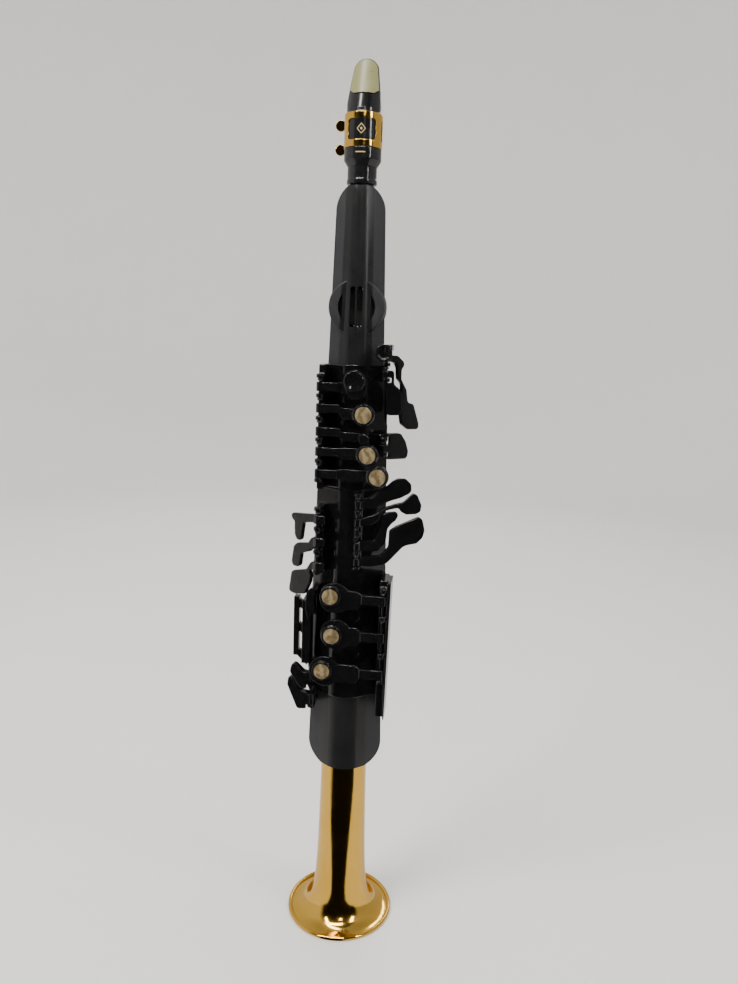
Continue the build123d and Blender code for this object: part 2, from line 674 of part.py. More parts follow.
bell_heights = [1.6, 1.9, 2.4, 3.2, 4.4, 6.0, 8.4, 12.0, 17.0, 24.0, 34.0, 48.0, 70.0, 100.0, casing_bottom]
outer_curve = [(bell_radius(z), z) for z in bell_heights]
inner_curve = [(outer_curve[0][0] - 0.3, outer_curve[0][1] - 0.8)]
for (r0, z0), (r1, z1), (r2, z2) in zip(outer_curve, outer_curve[1:], outer_curve[2:]):
    run = hypot(r2 - r0, z2 - z0)
    inner_curve.append((r1 - bell_wall * (z2 - z0) / run, z1 + bell_wall * (r2 - r0) / run))
inner_curve.append((outer_curve[-1][0] - bell_wall, casing_bottom - 2.0))
bead_x, bead_z = rim_radius - rim_bead_radius, rim_bead_radius - rim_flat_depth

with BuildPart() as bell:
    with BuildSketch(Plane.XZ):
        with BuildLine():
            Spline(*outer_curve)
            Polyline(outer_curve[-1], (spigot_radius, casing_bottom), (spigot_radius, casing_bottom + spigot_length),
                     (0, casing_bottom + spigot_length), (0, casing_bottom + spigot_length - 1.2),
                     (spigot_radius - bell_wall, casing_bottom + spigot_length - 1.2),
                     (spigot_radius - bell_wall, casing_bottom - 2.0), inner_curve[-1])
            Spline(*reversed(inner_curve))
            Line(inner_curve[0], outer_curve[0])
        make_face()
    revolve(axis=Axis.Z)
    with BuildSketch(Plane.XZ):
        with Locations((bead_x, bead_z)):
            Circle(rim_bead_radius)
        with Locations((bead_x, -5)):
            Rectangle(10, 10, mode=Mode.SUBTRACT)
    revolve(axis=Axis.Z)
save(bell.part, "bell")

# ---------------------------------------------------------------- neck tenon and cork
neck_top = casing_top + neck_flange_height
with BuildPart() as neck_tenon:
    with Locations((0, 0, casing_top)):
        Cylinder(neck_flange_radius, neck_flange_height, align=(Align.CENTER, Align.CENTER, Align.MIN))
    with Locations((0, 0, casing_top - 8)):
        Cylinder(tenon_radius, tenon_length + 8, align=(Align.CENTER, Align.CENTER, Align.MIN))
        Cylinder(tenon_bore, tenon_length + 9, align=(Align.CENTER, Align.CENTER, Align.MIN), mode=Mode.SUBTRACT)
save(neck_tenon.part, "neck_tenon")

cork_low = casing_top + tenon_length - 2.0 - cork_length
with BuildPart() as neck_cork:
    with Locations((0, 0, cork_low + cork_length / 2)):
        Cylinder(tenon_radius + cork_thickness, cork_length)
        Cylinder(tenon_radius, cork_length + 2, mode=Mode.SUBTRACT)
save(neck_cork.part, "neck_cork")

# ---------------------------------------------------------------- mouthpiece
piece_low = neck_top + slip
piece_high = casing_top + 1.6 + mouthpiece_length
body_low = piece_low + shank_length
beak_low = piece_low + beak_start
socket_radius = tenon_radius + cork_thickness + 0.03
socket_top = piece_low + tenon_length + 1.0
reed_low = piece_low + reed_start
table_y = table_offset
tip_y = table_offset - tip_opening
band_low = piece_low + ligature_low
band_high = band_low + ligature_height
half_low, half_mid, half_tip = mouthpiece_radius - 0.6, 11.2, 9.0
slope = atan2(beak_front + tip_y - 0.9, piece_high - beak_low)
slope_plane = Plane(origin=(0, -beak_front, beak_low), x_dir=(1, 0, 0), z_dir=(0, -cos(slope), sin(slope)))


def beak_cut(raised):
    """Everything in front of the beak's slope, which is crowned from side to side."""
    with BuildPart() as cut:
        with BuildSketch(Plane.YZ):
            Polygon((-40, beak_low), (8, beak_low), (8 + tip_y, piece_high + 8), (-40, piece_high + 8), align=None)
        extrude(amount=30, both=True)
        across = Plane(origin=slope_plane.origin, x_dir=(1, 0, 0), z_dir=slope_plane.y_dir)
        with BuildSketch(across.offset(-30)):
            with Locations((0, beak_crown)):
                Circle(beak_crown + raised)
                Rectangle(80, 80, align=(Align.CENTER, Align.MIN))
        extrude(amount=120, mode=Mode.SUBTRACT)
    return cut.part


with BuildPart() as mouthpiece:
    with BuildSketch(Plane.XZ):
        with BuildLine():
            Polyline((0, piece_low), (shank_radius - 0.4, piece_low), (shank_radius, piece_low + 0.6),
                     (shank_radius, piece_low + shank_ring_height), (shank_radius - 0.4, piece_low + 3.4),
                     (shank_radius - 0.4, body_low), (shoulder_radius, body_low + shoulder_length),
                     (shoulder_radius, band_low - 0.5), (mouthpiece_radius, band_low - 0.2),
                     (mouthpiece_radius, band_high + 0.2), (mouthpiece_radius - 0.7, band_high + 1.0),
                     (mouthpiece_radius - 0.7, piece_high), (0, piece_high), close=True)
        make_face()
    revolve(axis=Axis.Z)
    add(beak_cut(0.0), mode=Mode.SUBTRACT)
    with BuildSketch(Plane.YZ):  # the flat table and the curve the reed closes against
        with BuildLine():
            Line((table_y, reed_low - 1.0), (table_y, piece_high - 22.0))
            TangentArc((table_y, piece_high - 22.0), (tip_y, piece_high + 1), tangent=(0, 1))
            Polyline((tip_y, piece_high + 1), (40, piece_high + 1), (40, reed_low - 1.0), (table_y, reed_low - 1.0))
        make_face()
    extrude(amount=30, both=True, mode=Mode.SUBTRACT)
    with BuildSketch(Plane.XZ):  # the beak narrows toward a rounded tip
        with BuildLine():
            Polyline((-20, piece_low - 1), (20, piece_low - 1), (20, beak_low), (half_low, beak_low),
                     (half_mid, beak_low + 15.5), (half_tip, piece_high - 6.0))
            ThreePointArc((half_tip, piece_high - 6.0), (0, piece_high), (-half_tip, piece_high - 6.0))
            Polyline((-half_tip, piece_high - 6.0), (-half_mid, beak_low + 15.5), (-half_low, beak_low),
                     (-20, beak_low), (-20, piece_low - 1))
        make_face()
    extrude(amount=30, both=True, mode=Mode.INTERSECT)
    with Locations((0, 0, (piece_low + socket_top) / 2)):  # the socket that pushes onto the cork
        Cylinder(socket_radius, socket_top - piece_low + 0.002, mode=Mode.SUBTRACT)
    with Locations((0, 0, (socket_top + beak_low) / 2)):
        Cylinder(chamber_radius, beak_low - socket_top + 2, mode=Mode.SUBTRACT)
    with BuildSketch(Plane.YZ):  # the window under the reed
        Polygon((20, beak_low - 10), (0, beak_low - 10), (-3.0, beak_low), (6.0, piece_high - 9.0),
                (tip_y - 0.4, piece_high - 4.0), (20, piece_high - 4.0), align=None)
    extrude(amount=chamber_radius - 0.2, both=True, mode=Mode.SUBTRACT)
save(mouthpiece.part, "mouthpiece")

with BuildPart() as reed:
    with Locations((0, 0, reed_low)):
        Cylinder(mouthpiece_radius, piece_high - reed_low - 0.6, align=(Align.CENTER, Align.CENTER, Align.MIN))
    with Locations((0, 0, reed_low)):
        Box(reed_width, 60, 200, mode=Mode.INTERSECT)
    with BuildSketch(Plane.YZ):
        vamp_low = piece_high - 34.0
        Polygon((table_y, body_low), (30, body_low), (30, vamp_low), (mouthpiece_radius, vamp_low),
                (table_y + reed_tip, piece_high), (table_y, piece_high), align=None)
    extrude(amount=30, both=True, mode=Mode.INTERSECT)
    with BuildSketch(Plane.XZ):
        with BuildLine():
            Polyline((-20, body_low), (20, body_low), (20, piece_high - 6), (8.6, piece_high - 6))
            ThreePointArc((8.6, piece_high - 6), (0, piece_high - 0.7), (-8.6, piece_high - 6))
            Polyline((-8.6, piece_high - 6), (-20, piece_high - 6), (-20, body_low))
        make_face()
    extrude(amount=30, both=True, mode=Mode.INTERSECT)
save(reed.part, "reed")

patch_low = beak_low + 11.4
with BuildPart() as mouthpiece_patch:
    with BuildSketch(Plane.XZ):
        with BuildLine():
            Polyline((7.6, patch_low), (10.7, patch_low + 3.0), (10.5, beak_low + 15.5), (half_tip - 0.6, piece_high - 6.6))
            ThreePointArc((half_tip - 0.6, piece_high - 6.6), (0, piece_high - 0.9), (0.6 - half_tip, piece_high - 6.6))
            Polyline((0.6 - half_tip, piece_high - 6.6), (-10.5, beak_low + 15.5), (-10.7, patch_low + 3.0),
                     (-7.6, patch_low), (7.6, patch_low))
        make_face()
    extrude(amount=30, both=True)
    add(beak_cut(0.0), mode=Mode.INTERSECT)
    add(beak_cut(patch_thickness), mode=Mode.SUBTRACT)
save(mouthpiece_patch.part, "mouthpiece_patch")

# ---------------------------------------------------------------- ligature and its screws
band_radius = mouthpiece_radius + ligature_thickness
lug_heights = (band_low + 3.1, band_high - 3.1)
lug_y = band_radius + 2.6
with BuildPart() as ligature:
    with Locations((0, 0, band_low)):
        Cylinder(band_radius, ligature_height, align=(Align.CENTER, Align.CENTER, Align.MIN))
    for height in lug_heights:
        with Locations((0, band_radius + 1.8, height)):
            Box(12.0, 6.0, 6.0)
        with Locations((0, lug_y, height)):
            Cylinder(1.2 + running, 40, rotation=(0, 90, 0), mode=Mode.SUBTRACT)
    with Locations((0, 0, band_low - 1)):
        Cylinder(mouthpiece_radius, ligature_height + 2, align=(Align.CENTER, Align.CENTER, Align.MIN),
                 mode=Mode.SUBTRACT)
    with Locations((0, 20, band_low + ligature_height / 2)):
        Box(6.0, 20, ligature_height + 2, mode=Mode.SUBTRACT)
    with BuildSketch(facing(0, 0, band_low + ligature_height / 2)):
        RectangleRounded(19.8, ligature_height - 9.0, 2.2)
    extrude(amount=30, mode=Mode.SUBTRACT)
    for side in (-1, 1):
        with Locations((side * 14, -1.5, band_low + ligature_height / 2)):
            Box(12, 4.0, ligature_height - 9.0, mode=Mode.SUBTRACT)
save(ligature.part, "ligature")

for height, name in zip(lug_heights, ("ligature_screw_lower", "ligature_screw_upper")):
    with BuildPart() as screw:
        with Locations((-3.5, lug_y, height)):
            Cylinder(1.2, 21.0, rotation=(0, 90, 0))
        with BuildSketch(Plane(origin=(-13.0, lug_y, height), x_dir=(0, 1, 0), z_dir=(-1, 0, 0))):
            Circle(2.0)
        with BuildSketch(Plane(origin=(-15.6, lug_y, height), x_dir=(0, 1, 0), z_dir=(-1, 0, 0))):
            Circle(1.4)
        loft()
        with Locations((-19.2, lug_y, height)):  # a round paddle for finger and thumb
            Cylinder(4.1, 2.6, rotation=(90, 0, 0))
    save(screw.part, name)

# ---------------------------------------------------------------- speaker, board, batteries, sensor
with BuildPart() as speaker_ring:
    with Locations((0, 0, speaker_height)):
        Cylinder(speaker_ring_radius, 2 * speaker_ring_half, rotation=(90, 0, 0))
    fillet(speaker_ring.edges(), 2.0)
    add(outer_blank, mode=Mode.SUBTRACT)
    add(slots, mode=Mode.SUBTRACT)
save(speaker_ring.part, "speaker_ring")

with BuildPart() as speaker_driver:
    add(rear_disc(0, -2.0, speaker_height, driver_radius, 2.0))
    add(rear_disc(0, 0.0, speaker_height, 7.0, 7.5))
    with BuildSketch(facing(0, -1.2, speaker_height)):
        Circle(2.6)
    with BuildSketch(facing(0, -2.0, speaker_height)):
        Circle(11.5)
    loft(mode=Mode.SUBTRACT)
save(speaker_driver.part, "speaker_driver")

with BuildPart() as main_board:
    with Locations((0, board_back - board_thickness / 2, 322.0)):
        Box(20.0, board_thickness, 300.0)
    for z, wide, tall, deep in ((292.0, 12.0, 12.0, 1.4), (346.0, 8.0, 8.0, 1.2), (410.0, 10.0, 14.0, 1.6)):
        with Locations((0, board_back + deep / 2, z)):
            Box(wide, deep, tall)
save(main_board.part, "main_board")

with BuildPart() as battery_cells:
    for x in (-battery_radius - 0.35, battery_radius + 0.35):
        for z in (battery_low, battery_low + battery_length + 1.5):
            with Locations((x, board_back + battery_radius, z)):
                Cylinder(battery_radius, battery_length - 1.0, align=(Align.CENTER, Align.CENTER, Align.MIN))
                Cylinder(2.0, battery_length, align=(Align.CENTER, Align.CENTER, Align.MIN))
save(battery_cells.part, "battery_cells")

with BuildPart() as breath_sensor:
    with Locations((0, 0, casing_top - 8.0)):
        Cylinder(6.0, 9.0, align=(Align.CENTER, Align.CENTER, Align.MAX))
    with Locations((0, 0, casing_top - 17.0)):
        Box(9.0, 6.0, 5.0, align=(Align.CENTER, Align.CENTER, Align.MAX))
save(breath_sensor.part, "breath_sensor")

# ---------------------------------------------------------------- sockets, window, button, knob, slider
jack_bore = 1.78
with BuildPart() as jack_sockets:
    with Locations((0, 8.0, socket_height)):
        Box(21.0, 8.0, 8.4)
    for x in (-6.5, 6.5):
        add(rear_disc(x, 8.0, socket_height, 2.9, rear_depth(6.5, socket_height) - 8.4))
        add(rear_disc(x, 5.0, socket_height, jack_bore, 30), mode=Mode.SUBTRACT)
save(jack_sockets.part, "jack_sockets")

window_seat = sqrt((ridge_radius(window_height + 6) - casing_wall) ** 2 - (window_half + 1) ** 2) - 0.15
with BuildPart() as display_window:
    window_back = ridge_radius(window_height) - 0.6
    with Locations((0, (window_back + window_seat) / 2, window_height)):
        Box(2 * window_half - 2 * slip, window_back - window_seat, window_tall - 2 * slip)
    with Locations((0, window_seat - 0.4, window_height)):
        Box(2 * window_half + 2, 0.9, window_tall + 2)
save(display_window.part, "display_window")

flange_back = sqrt((ridge_radius(power_height) - casing_wall) ** 2 - (power_radius + 1.2) ** 2) - 1.2
with BuildPart() as power_button:
    add(rear_disc(0, flange_back, power_height, power_radius, ridge_radius(power_height) + 1.4 - flange_back))
    add(rear_disc(0, flange_back - 1.0, power_height, power_radius + 1.2, 1.0))
save(power_button.part, "power_button")

knob_seat = ridge_radius(knob_height) + 0.15
with BuildPart() as control_knob:
    add(rear_disc(0, knob_seat, knob_height, knob_radius, 4.0))
    add(rear_disc(0, knob_seat - 5.0, knob_height, 1.5, 6.0))
    for turn in range(0, 360, 30):
        with Locations((knob_radius * cos(radians(turn)), knob_seat + 2.4, knob_height + knob_radius * sin(radians(turn)))):
            Cylinder(0.45, 4.0, rotation=(90, 0, 0), mode=Mode.SUBTRACT)
save(control_knob.part, "control_knob")

track_face = ridge_radius(track_height) - 2.6 + 4.0
with BuildPart() as thumb_slider:
    with Locations((0, track_face + 0.1 + 1.5, track_height)):
        Box(9.0, 3.0, 8.0)
        Cylinder(30.0, 3.0, rotation=(90, 0, 0), mode=Mode.INTERSECT)
    with Locations((0, track_face - 4.5, track_height)):
        Box(3.0, 10.0, 4.0)
    with Locations((0, track_face - 9.4, track_height)):
        Box(6.4, 1.2, 4.0)
save(thumb_slider.part, "thumb_slider")

# ---------------------------------------------------------------- battery cover
with BuildPart() as battery_cover:
    add(shell_blank)
    add(room, mode=Mode.SUBTRACT)
    with Locations((0, 30, (cover_low + cover_high) / 2)):
        Box(2 * (cover_half - panel_gap), 60, cover_high - cover_low - 2 * panel_gap, mode=Mode.INTERSECT)
    for z in range(5):
        with Locations((0, ridge_radius(cover_high) + 0.9, cover_high - 8.0 - 2.4 * z)):
            Box(12.0, 2.0, 1.1, mode=Mode.SUBTRACT)
save(battery_cover.part, "battery_cover")

# ---------------------------------------------------------------- thumb hook, thumb rest, strap ring
hook_root = ridge_radius(hook_height)
with BuildPart() as thumb_hook:
    with Locations((0, hook_root + 0.4, hook_height)):
        Box(15.0, 4.4, 30.0)
    fillet(thumb_hook.edges().filter_by(Axis.Y), 4.0)
    with BuildSketch(Plane.YZ):
        with BuildLine():
            top = hook_height + 12.0
            Polyline((hook_root + 1, top), (hook_root + 13, top))
            ThreePointArc((hook_root + 13, top), (hook_root + 21.5, top - 4.5), (hook_root + 25, top - 15.0))
            Line((hook_root + 25, top - 15.0), (hook_root + 22, top - 15.0))
            ThreePointArc((hook_root + 22, top - 15.0), (hook_root + 18.9, top - 6.6), (hook_root + 13, top - 3.0))
            Polyline((hook_root + 13, top - 3.0), (hook_root + 1, top - 3.0), (hook_root + 1, top))
        make_face()
    extrude(amount=6.5, both=True)
    add(outer_blank, mode=Mode.SUBTRACT)
save(thumb_hook.part, "thumb_hook")

rest_height = 436.0
rest_root = ridge_radius(rest_height)
with BuildPart() as thumb_rest:
    add(rear_disc(0, rest_root - 5.0, rest_height, 9.0, 8.6))
    fillet(thumb_rest.faces().sort_by(Axis.Y)[-1].edges(), 1.4)
    add(outer_blank, mode=Mode.SUBTRACT)
save(thumb_rest.part, "thumb_rest")

strap_root = ridge_radius(strap_height)
with BuildPart() as strap_ring:
    with Locations((0, strap_root + 0.2, strap_height)):
        Box(9.0, 4.0, 22.0)
    fillet(strap_ring.edges().filter_by(Axis.Y), 4.0)
    with Locations((0, strap_root + 8.2, strap_height)):
        Cylinder(8.0, 4.0, rotation=(0, 90, 0))
        Cylinder(strap_hole_radius, 6.0, rotation=(0, 90, 0), mode=Mode.SUBTRACT)
    add(outer_blank, mode=Mode.SUBTRACT)
save(strap_ring.part, "strap_ring")

# ---------------------------------------------------------------- octave key and its stand
octave_y = ridge_radius(octave_height) + 5.2
with BuildPart() as octave_stand:
    with Locations((0, (octave_y + 2.0) / 2, octave_height)):
        Box(19.0, octave_y + 2.0, 5.0)
    with Locations((0, octave_y, octave_height)):
        Cylinder(2.5, 19.0, rotation=(0, 90, 0))
        Box(12.6, 40, 12, mode=Mode.SUBTRACT)
        Cylinder(rod_radius, 40, rotation=(0, 90, 0), mode=Mode.SUBTRACT)
    add(outer_blank, mode=Mode.SUBTRACT)
    with Locations((0, octave_y, octave_height)):
        Cylinder(rod_radius, 19.0, rotation=(0, 90, 0))
save(octave_stand.part, "octave_stand")

with BuildPart() as octave_key:
    with Locations((0, octave_y, octave_height)):
        Cylinder(2.4, 12.0, rotation=(0, 90, 0))
    with BuildSketch(rear(0, octave_y - 0.6, 0)):
        with BuildLine():
            rounded_face([(-4.5, octave_height), (-7.4, octave_height - 12), (-6.6, octave_height - 21.5),
                          (6.6, octave_height - 21.5), (7.4, octave_height - 12), (4.5, octave_height)], 3.0)
        make_face()
    extrude(amount=2.8)
    with Locations((0, octave_y, octave_height)):
        Cylinder(rod_radius + running, 40, rotation=(0, 90, 0), mode=Mode.SUBTRACT)
save(octave_key.part, "octave_key")
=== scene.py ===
# %% [markdown]
# # A straight digital saxophone
# This notebook dresses the mechanical model of a straight digital saxophone: a moulded casing with
# a round ridge and flat wings, a spun brass bell, glossy keywork, brown pearls and a mouthpiece.
# The mechanical model gives every place and size, so each piece here starts from a node's box or
# mesh and rides on the body that carries it.

# %% Load the mechanical model
import json
from math import cos, pi, radians, sin

import bmesh
import bpy
from mathutils import Matrix, Vector


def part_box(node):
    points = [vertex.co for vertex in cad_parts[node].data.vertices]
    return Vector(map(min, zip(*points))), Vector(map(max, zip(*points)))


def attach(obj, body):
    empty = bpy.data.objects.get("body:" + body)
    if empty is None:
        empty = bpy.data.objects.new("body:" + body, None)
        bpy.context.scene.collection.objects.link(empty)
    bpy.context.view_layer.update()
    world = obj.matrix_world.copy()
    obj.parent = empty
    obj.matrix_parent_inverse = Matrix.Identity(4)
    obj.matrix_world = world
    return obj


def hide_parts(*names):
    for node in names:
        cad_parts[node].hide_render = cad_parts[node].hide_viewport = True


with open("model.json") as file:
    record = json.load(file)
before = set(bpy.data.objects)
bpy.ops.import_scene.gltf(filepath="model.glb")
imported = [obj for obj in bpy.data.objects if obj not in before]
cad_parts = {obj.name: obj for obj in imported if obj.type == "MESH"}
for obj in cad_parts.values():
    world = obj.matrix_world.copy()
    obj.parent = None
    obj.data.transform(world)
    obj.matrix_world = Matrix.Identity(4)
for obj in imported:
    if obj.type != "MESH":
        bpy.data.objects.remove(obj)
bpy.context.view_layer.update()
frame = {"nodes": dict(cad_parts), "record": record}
scene = bpy.context.scene
mm = 0.001

# %% [markdown]
# ## Camera
# The viewer stands a little to the right of the instrument and looks slightly down at it. The
# camera's matrix is written from its right, up and backward directions, and the lens from the
# view's height: the sensor's width always covers the longer side of the view.

# %% Camera
view_height, focal_length = 984, 780  # in one unit, whichever it is
camera_place = (0.0770, -0.6096, 0.5000)
camera_data = bpy.data.cameras.new("camera")
camera_data.sensor_width = 36.0
camera_data.lens = camera_data.sensor_width * focal_length / view_height
camera_data.clip_start = 0.01
camera = bpy.data.objects.new("camera", camera_data)
scene.collection.objects.link(camera)
ahead = Vector((-0.1015, 0.9753, -0.1961))
back = -ahead.normalized()
right = Vector((-0.0557, 0.1912, 0.98)).cross(back).normalized()
up = back.cross(right)
turned = Matrix((right, up, back)).transposed().to_4x4()
camera.matrix_world = Matrix.Translation(camera_place) @ turned
scene.camera = camera
print("lens", round(camera_data.lens, 2), "mm")

# %% [markdown]
# ## Node arithmetic
# Materials and geometry trees are full of small sums. This class wraps one node output and
# overloads the usual operators, so that an expression such as `1 - mask * 0.3` adds its own Math
# nodes. `make` adds any other node: its settings come first, because some of them change which
# sockets the node has, and then the values or links of its sockets.

# %% A socket that can be used in sums
class Socket:
    """One output of a node, which can take part in sums."""

    def __init__(self, socket):
        self.socket, self.tree = socket, socket.id_data

    def math(self, operation, *others, swap=False):
        node = self.tree.nodes.new("ShaderNodeMath")
        node.operation = operation
        terms = (*others, self) if swap else (self, *others)
        for slot, term in zip(node.inputs, terms):
            feed(self.tree, slot, term)
        return Socket(node.outputs[0])

    def __add__(self, other): return self.math("ADD", other)
    def __sub__(self, other): return self.math("SUBTRACT", other)
    def __mul__(self, other): return self.math("MULTIPLY", other)
    def __truediv__(self, other): return self.math("DIVIDE", other)
    def __pow__(self, other): return self.math("POWER", other)
    def __gt__(self, other): return self.math("GREATER_THAN", other)
    def __rsub__(self, other): return self.math("SUBTRACT", other, swap=True)
    def __neg__(self): return self.math("MULTIPLY", -1.0)
    __radd__, __rmul__ = __add__, __mul__


def feed(tree, slot, value):
    """Link a node output to an input, or set the input to a plain value."""
    if isinstance(value, Socket):
        tree.links.new(value.socket, slot)
    else:
        slot.default_value = value


def make(tree, kind, inputs=(), out=0, stops=None, **settings):
    """Add one node of any type and hand back one of its outputs; stops are a ramp's colours."""
    node = tree.nodes.new(kind)
    for name, value in settings.items():
        setattr(node, name, value)
    if stops:
        ramp = node.color_ramp
        while len(ramp.elements) < len(stops):
            ramp.elements.new(1.0)
        for element, (place, colour) in zip(ramp.elements, stops):
            element.position, element.color = place, (*colour, 1.0)
    for name, value in dict(inputs).items():
        feed(tree, node.inputs[name], value)
    return Socket(node.outputs[out])


print("Socket, feed and make are ready")

# %% [markdown]
# ## Finishes
# Every finish starts from Object coordinates. All the pieces sit at the origin with their place in
# their mesh, so a pattern measured in metres runs over them without seams. A `finish` takes a
# function that returns what varies over the surface, and the numbers that don't.

# %% A material with a procedural surface
def finish(name, surface, **constants):
    """A material whose surface function says what varies, and whose constants say what doesn't."""
    material = bpy.data.materials.new(name)
    material.use_nodes = True
    tree = material.node_tree
    shader = tree.nodes["Principled BSDF"]
    place = make(tree, "ShaderNodeTexCoord", out="Object")
    for key, value in constants.items():
        shader.inputs[key.replace("_", " ")].default_value = value
    for key, value in surface(tree, place).items():
        feed(tree, shader.inputs[key], value)
    return material


def stretched(tree, place, x, y, z):
    """Object coordinates scaled along each axis, for grain that runs one way."""
    return make(tree, "ShaderNodeMapping", {"Vector": place, "Scale": (x, y, z)})


def noise(tree, place, scale, detail=3.0, roughness=0.5, distortion=0.0):
    """Cloudy noise whose scale is in cycles to the metre."""
    return make(tree, "ShaderNodeTexNoise", {"Vector": place, "Scale": scale, "Detail": detail,
                                             "Roughness": roughness, "Distortion": distortion})


def axis_of(tree, place, axis):
    """One coordinate of a place."""
    return make(tree, "ShaderNodeSeparateXYZ", {"Vector": place}, out=axis)


def blend_colours(tree, factor, first, second):
    """Mix two colours, each a link or three numbers, by a Mix node's colour sockets 6, 7 and 2."""
    node = tree.nodes.new("ShaderNodeMix")
    node.data_type = "RGBA"
    for slot, value in ((0, factor), (6, first), (7, second)):
        plain = isinstance(value, tuple)
        feed(tree, node.inputs[slot], (*value, 1.0) if plain else value)
    return Socket(node.outputs[2])


def bump(tree, height, distance, strength):
    """Tilt the surface as if it rose by height times distance."""
    return make(tree, "ShaderNodeBump",
                {"Height": height, "Distance": distance, "Strength": strength})


def spread(tree, value, low, high, new_low, new_high):
    """Map a value from one range to another, held at both ends."""
    return make(tree, "ShaderNodeMapRange", {"Value": value, "From Min": low, "From Max": high,
                                             "To Min": new_low, "To Max": new_high}, clamp=True)


def rings_round_z(tree, place, scale, detail):
    """Fine turning marks: noise that changes only along the instrument."""
    return make(tree, "ShaderNodeTexNoise",
                {"W": axis_of(tree, place, "Z") * scale, "Scale": 1.0, "Detail": detail},
                noise_dimensions="1D")


print("helpers for finishes ready")

# %% [markdown]
# ### Moulded casing
# The casing is black plastic in two textures. The round ridge is satin, so a faint line of light
# runs down it, and the flat wings beside it are spark-eroded to a paler matte charcoal. The ridge
# narrows evenly towards the mouthpiece, so one mask, the distance from the middle against the
# ridge's radius at that height, parts the two. Noise gives the grain its bump and clouds the sheen.

# %% Satin ridge and matte wings
ridge_foot = 0.144  # height of the casing's lower end
ridge_half = 0.0197  # half the ridge's visible width there
ridge_slope = 0.0194  # how much narrower it gets for each metre up


def moulded_surface(tree, place):
    x, z = axis_of(tree, place, "X"), axis_of(tree, place, "Z")
    ridge = ridge_half - (z - ridge_foot) * ridge_slope
    wing = spread(tree, x.math("ABSOLUTE") - ridge, -0.0007, 0.0003, 0.0, 1.0)
    grain = noise(tree, place, 3200.0, 2.0, 0.6)
    patches = noise(tree, place, 26.0, 4.0, 0.55, 0.4)
    flecks = noise(tree, place, 900.0, 2.0)
    cloudy = spread(tree, patches, 0.3, 0.7, 0.0, 1.0)
    satin = blend_colours(tree, cloudy, (0.0085, 0.0085, 0.0095), (0.0125, 0.0125, 0.0135))
    matte = blend_colours(tree, cloudy, (0.019, 0.019, 0.022), (0.027, 0.027, 0.031))
    pale_flecks = spread(tree, flecks, 0.60, 0.75, 0.0, 0.25)
    matte = blend_colours(tree, pale_flecks, matte, (0.044, 0.044, 0.047))
    sheen = spread(tree, patches, 0.3, 0.7, 0.26, 0.36) + wing * 0.27
    return {"Base Color": blend_colours(tree, wing, satin, matte),
            "Roughness": sheen + (grain - 0.5) * 0.08,
            "Normal": bump(tree, (grain + flecks * 0.6) * (wing * 0.7 + 0.3), 0.00006, 0.5)}


matte_black = finish("charcoal_moulding", moulded_surface, Specular_IOR_Level=0.28)
print("finish:", matte_black.name)

# %% [markdown]
# ### Polished black keys
# The keys are polished black mouldings. What makes them look real is how clean edges catch the
# light while the broad faces stay nearly black, with a little haze where fingers have been, and a
# few hair-fine scratches. The haze moves the roughness most, and the colour a very little.

# %% Polished black plastic
def polished_surface(tree, place):
    haze = noise(tree, place, 55.0, 5.0, 0.6, 0.8)
    ripple = noise(tree, place, 160.0, 2.0)
    scratch = noise(tree, stretched(tree, place, 40.0, 40.0, 2.0), 60.0, 3.0, 0.7, 0.3)
    fine = spread(tree, scratch, 0.64, 0.70, 0.0, 1.0)
    colour = blend_colours(tree, haze, (0.0028, 0.0028, 0.0034), (0.0062, 0.0062, 0.0070))
    return {"Base Color": colour,
            "Roughness": spread(tree, haze, 0.35, 0.75, 0.055, 0.17) + fine * 0.10,
            "Normal": bump(tree, ripple * 0.6 + fine * 0.05, 0.00012, 0.35)}


gloss_black = finish("polished_black_moulding", polished_surface, Coat_Roughness=0.05)
print("finish:", gloss_black.name)

# %% [markdown]
# ### Lacquered brass
# The bell is brass under clear gold lacquer. Spinning it on a lathe leaves faint rings, so the bump
# follows the distance along the instrument, and the lacquer deepens the colour in clouds.

# %% Lacquered brass
def brass_surface(tree, place):
    clouds = noise(tree, place, 30.0, 4.0, 0.55, 0.5)
    rings = rings_round_z(tree, place, 2600.0, 2.0)
    specks = make(tree, "ShaderNodeTexVoronoi", {"Vector": place, "Scale": 240.0}, feature="F1")
    spots = spread(tree, specks, 0.02, 0.07, 1.0, 0.0)
    cloudy = spread(tree, clouds, 0.3, 0.7, 0.0, 1.0)
    colour = blend_colours(tree, cloudy, (0.74, 0.43, 0.062), (0.81, 0.50, 0.095))
    colour = blend_colours(tree, spots * 0.22, colour, (0.30, 0.15, 0.03))
    sheen = spread(tree, clouds, 0.3, 0.75, 0.075, 0.15)
    return {"Base Color": colour,
            "Roughness": sheen + spots * 0.12 + rings * 0.03,
            "Normal": bump(tree, rings, 0.000010, 0.5)}


gold_lacquer = finish("gold_lacquered_brass", brass_surface, Metallic=1.0,
                      Coat_Roughness=0.04, Coat_Weight=0.12)
print("finish:", gold_lacquer.name)

# %% [markdown]
# ### Mouthpiece resin, pearls and patch
# The mouthpiece is turned black resin, so it has fine rings like the bell's. Each pearl is
# imitation nacre: brown with soft paler folds, drawn with a distorted wave, under a clear coat. The
# tooth patch is a pale olive pad, slightly cloudy.

# %% Resin, nacre and olive pad
def resin_surface(tree, place):
    haze = noise(tree, place, 70.0, 4.0, 0.6, 0.5)
    rings = rings_round_z(tree, place, 5200.0, 1.0)
    return {"Base Color": blend_colours(tree, haze, (0.006, 0.006, 0.007), (0.012, 0.012, 0.013)),
            "Roughness": spread(tree, haze, 0.3, 0.75, 0.10, 0.22),
            "Normal": bump(tree, rings, 0.000012, 0.4)}


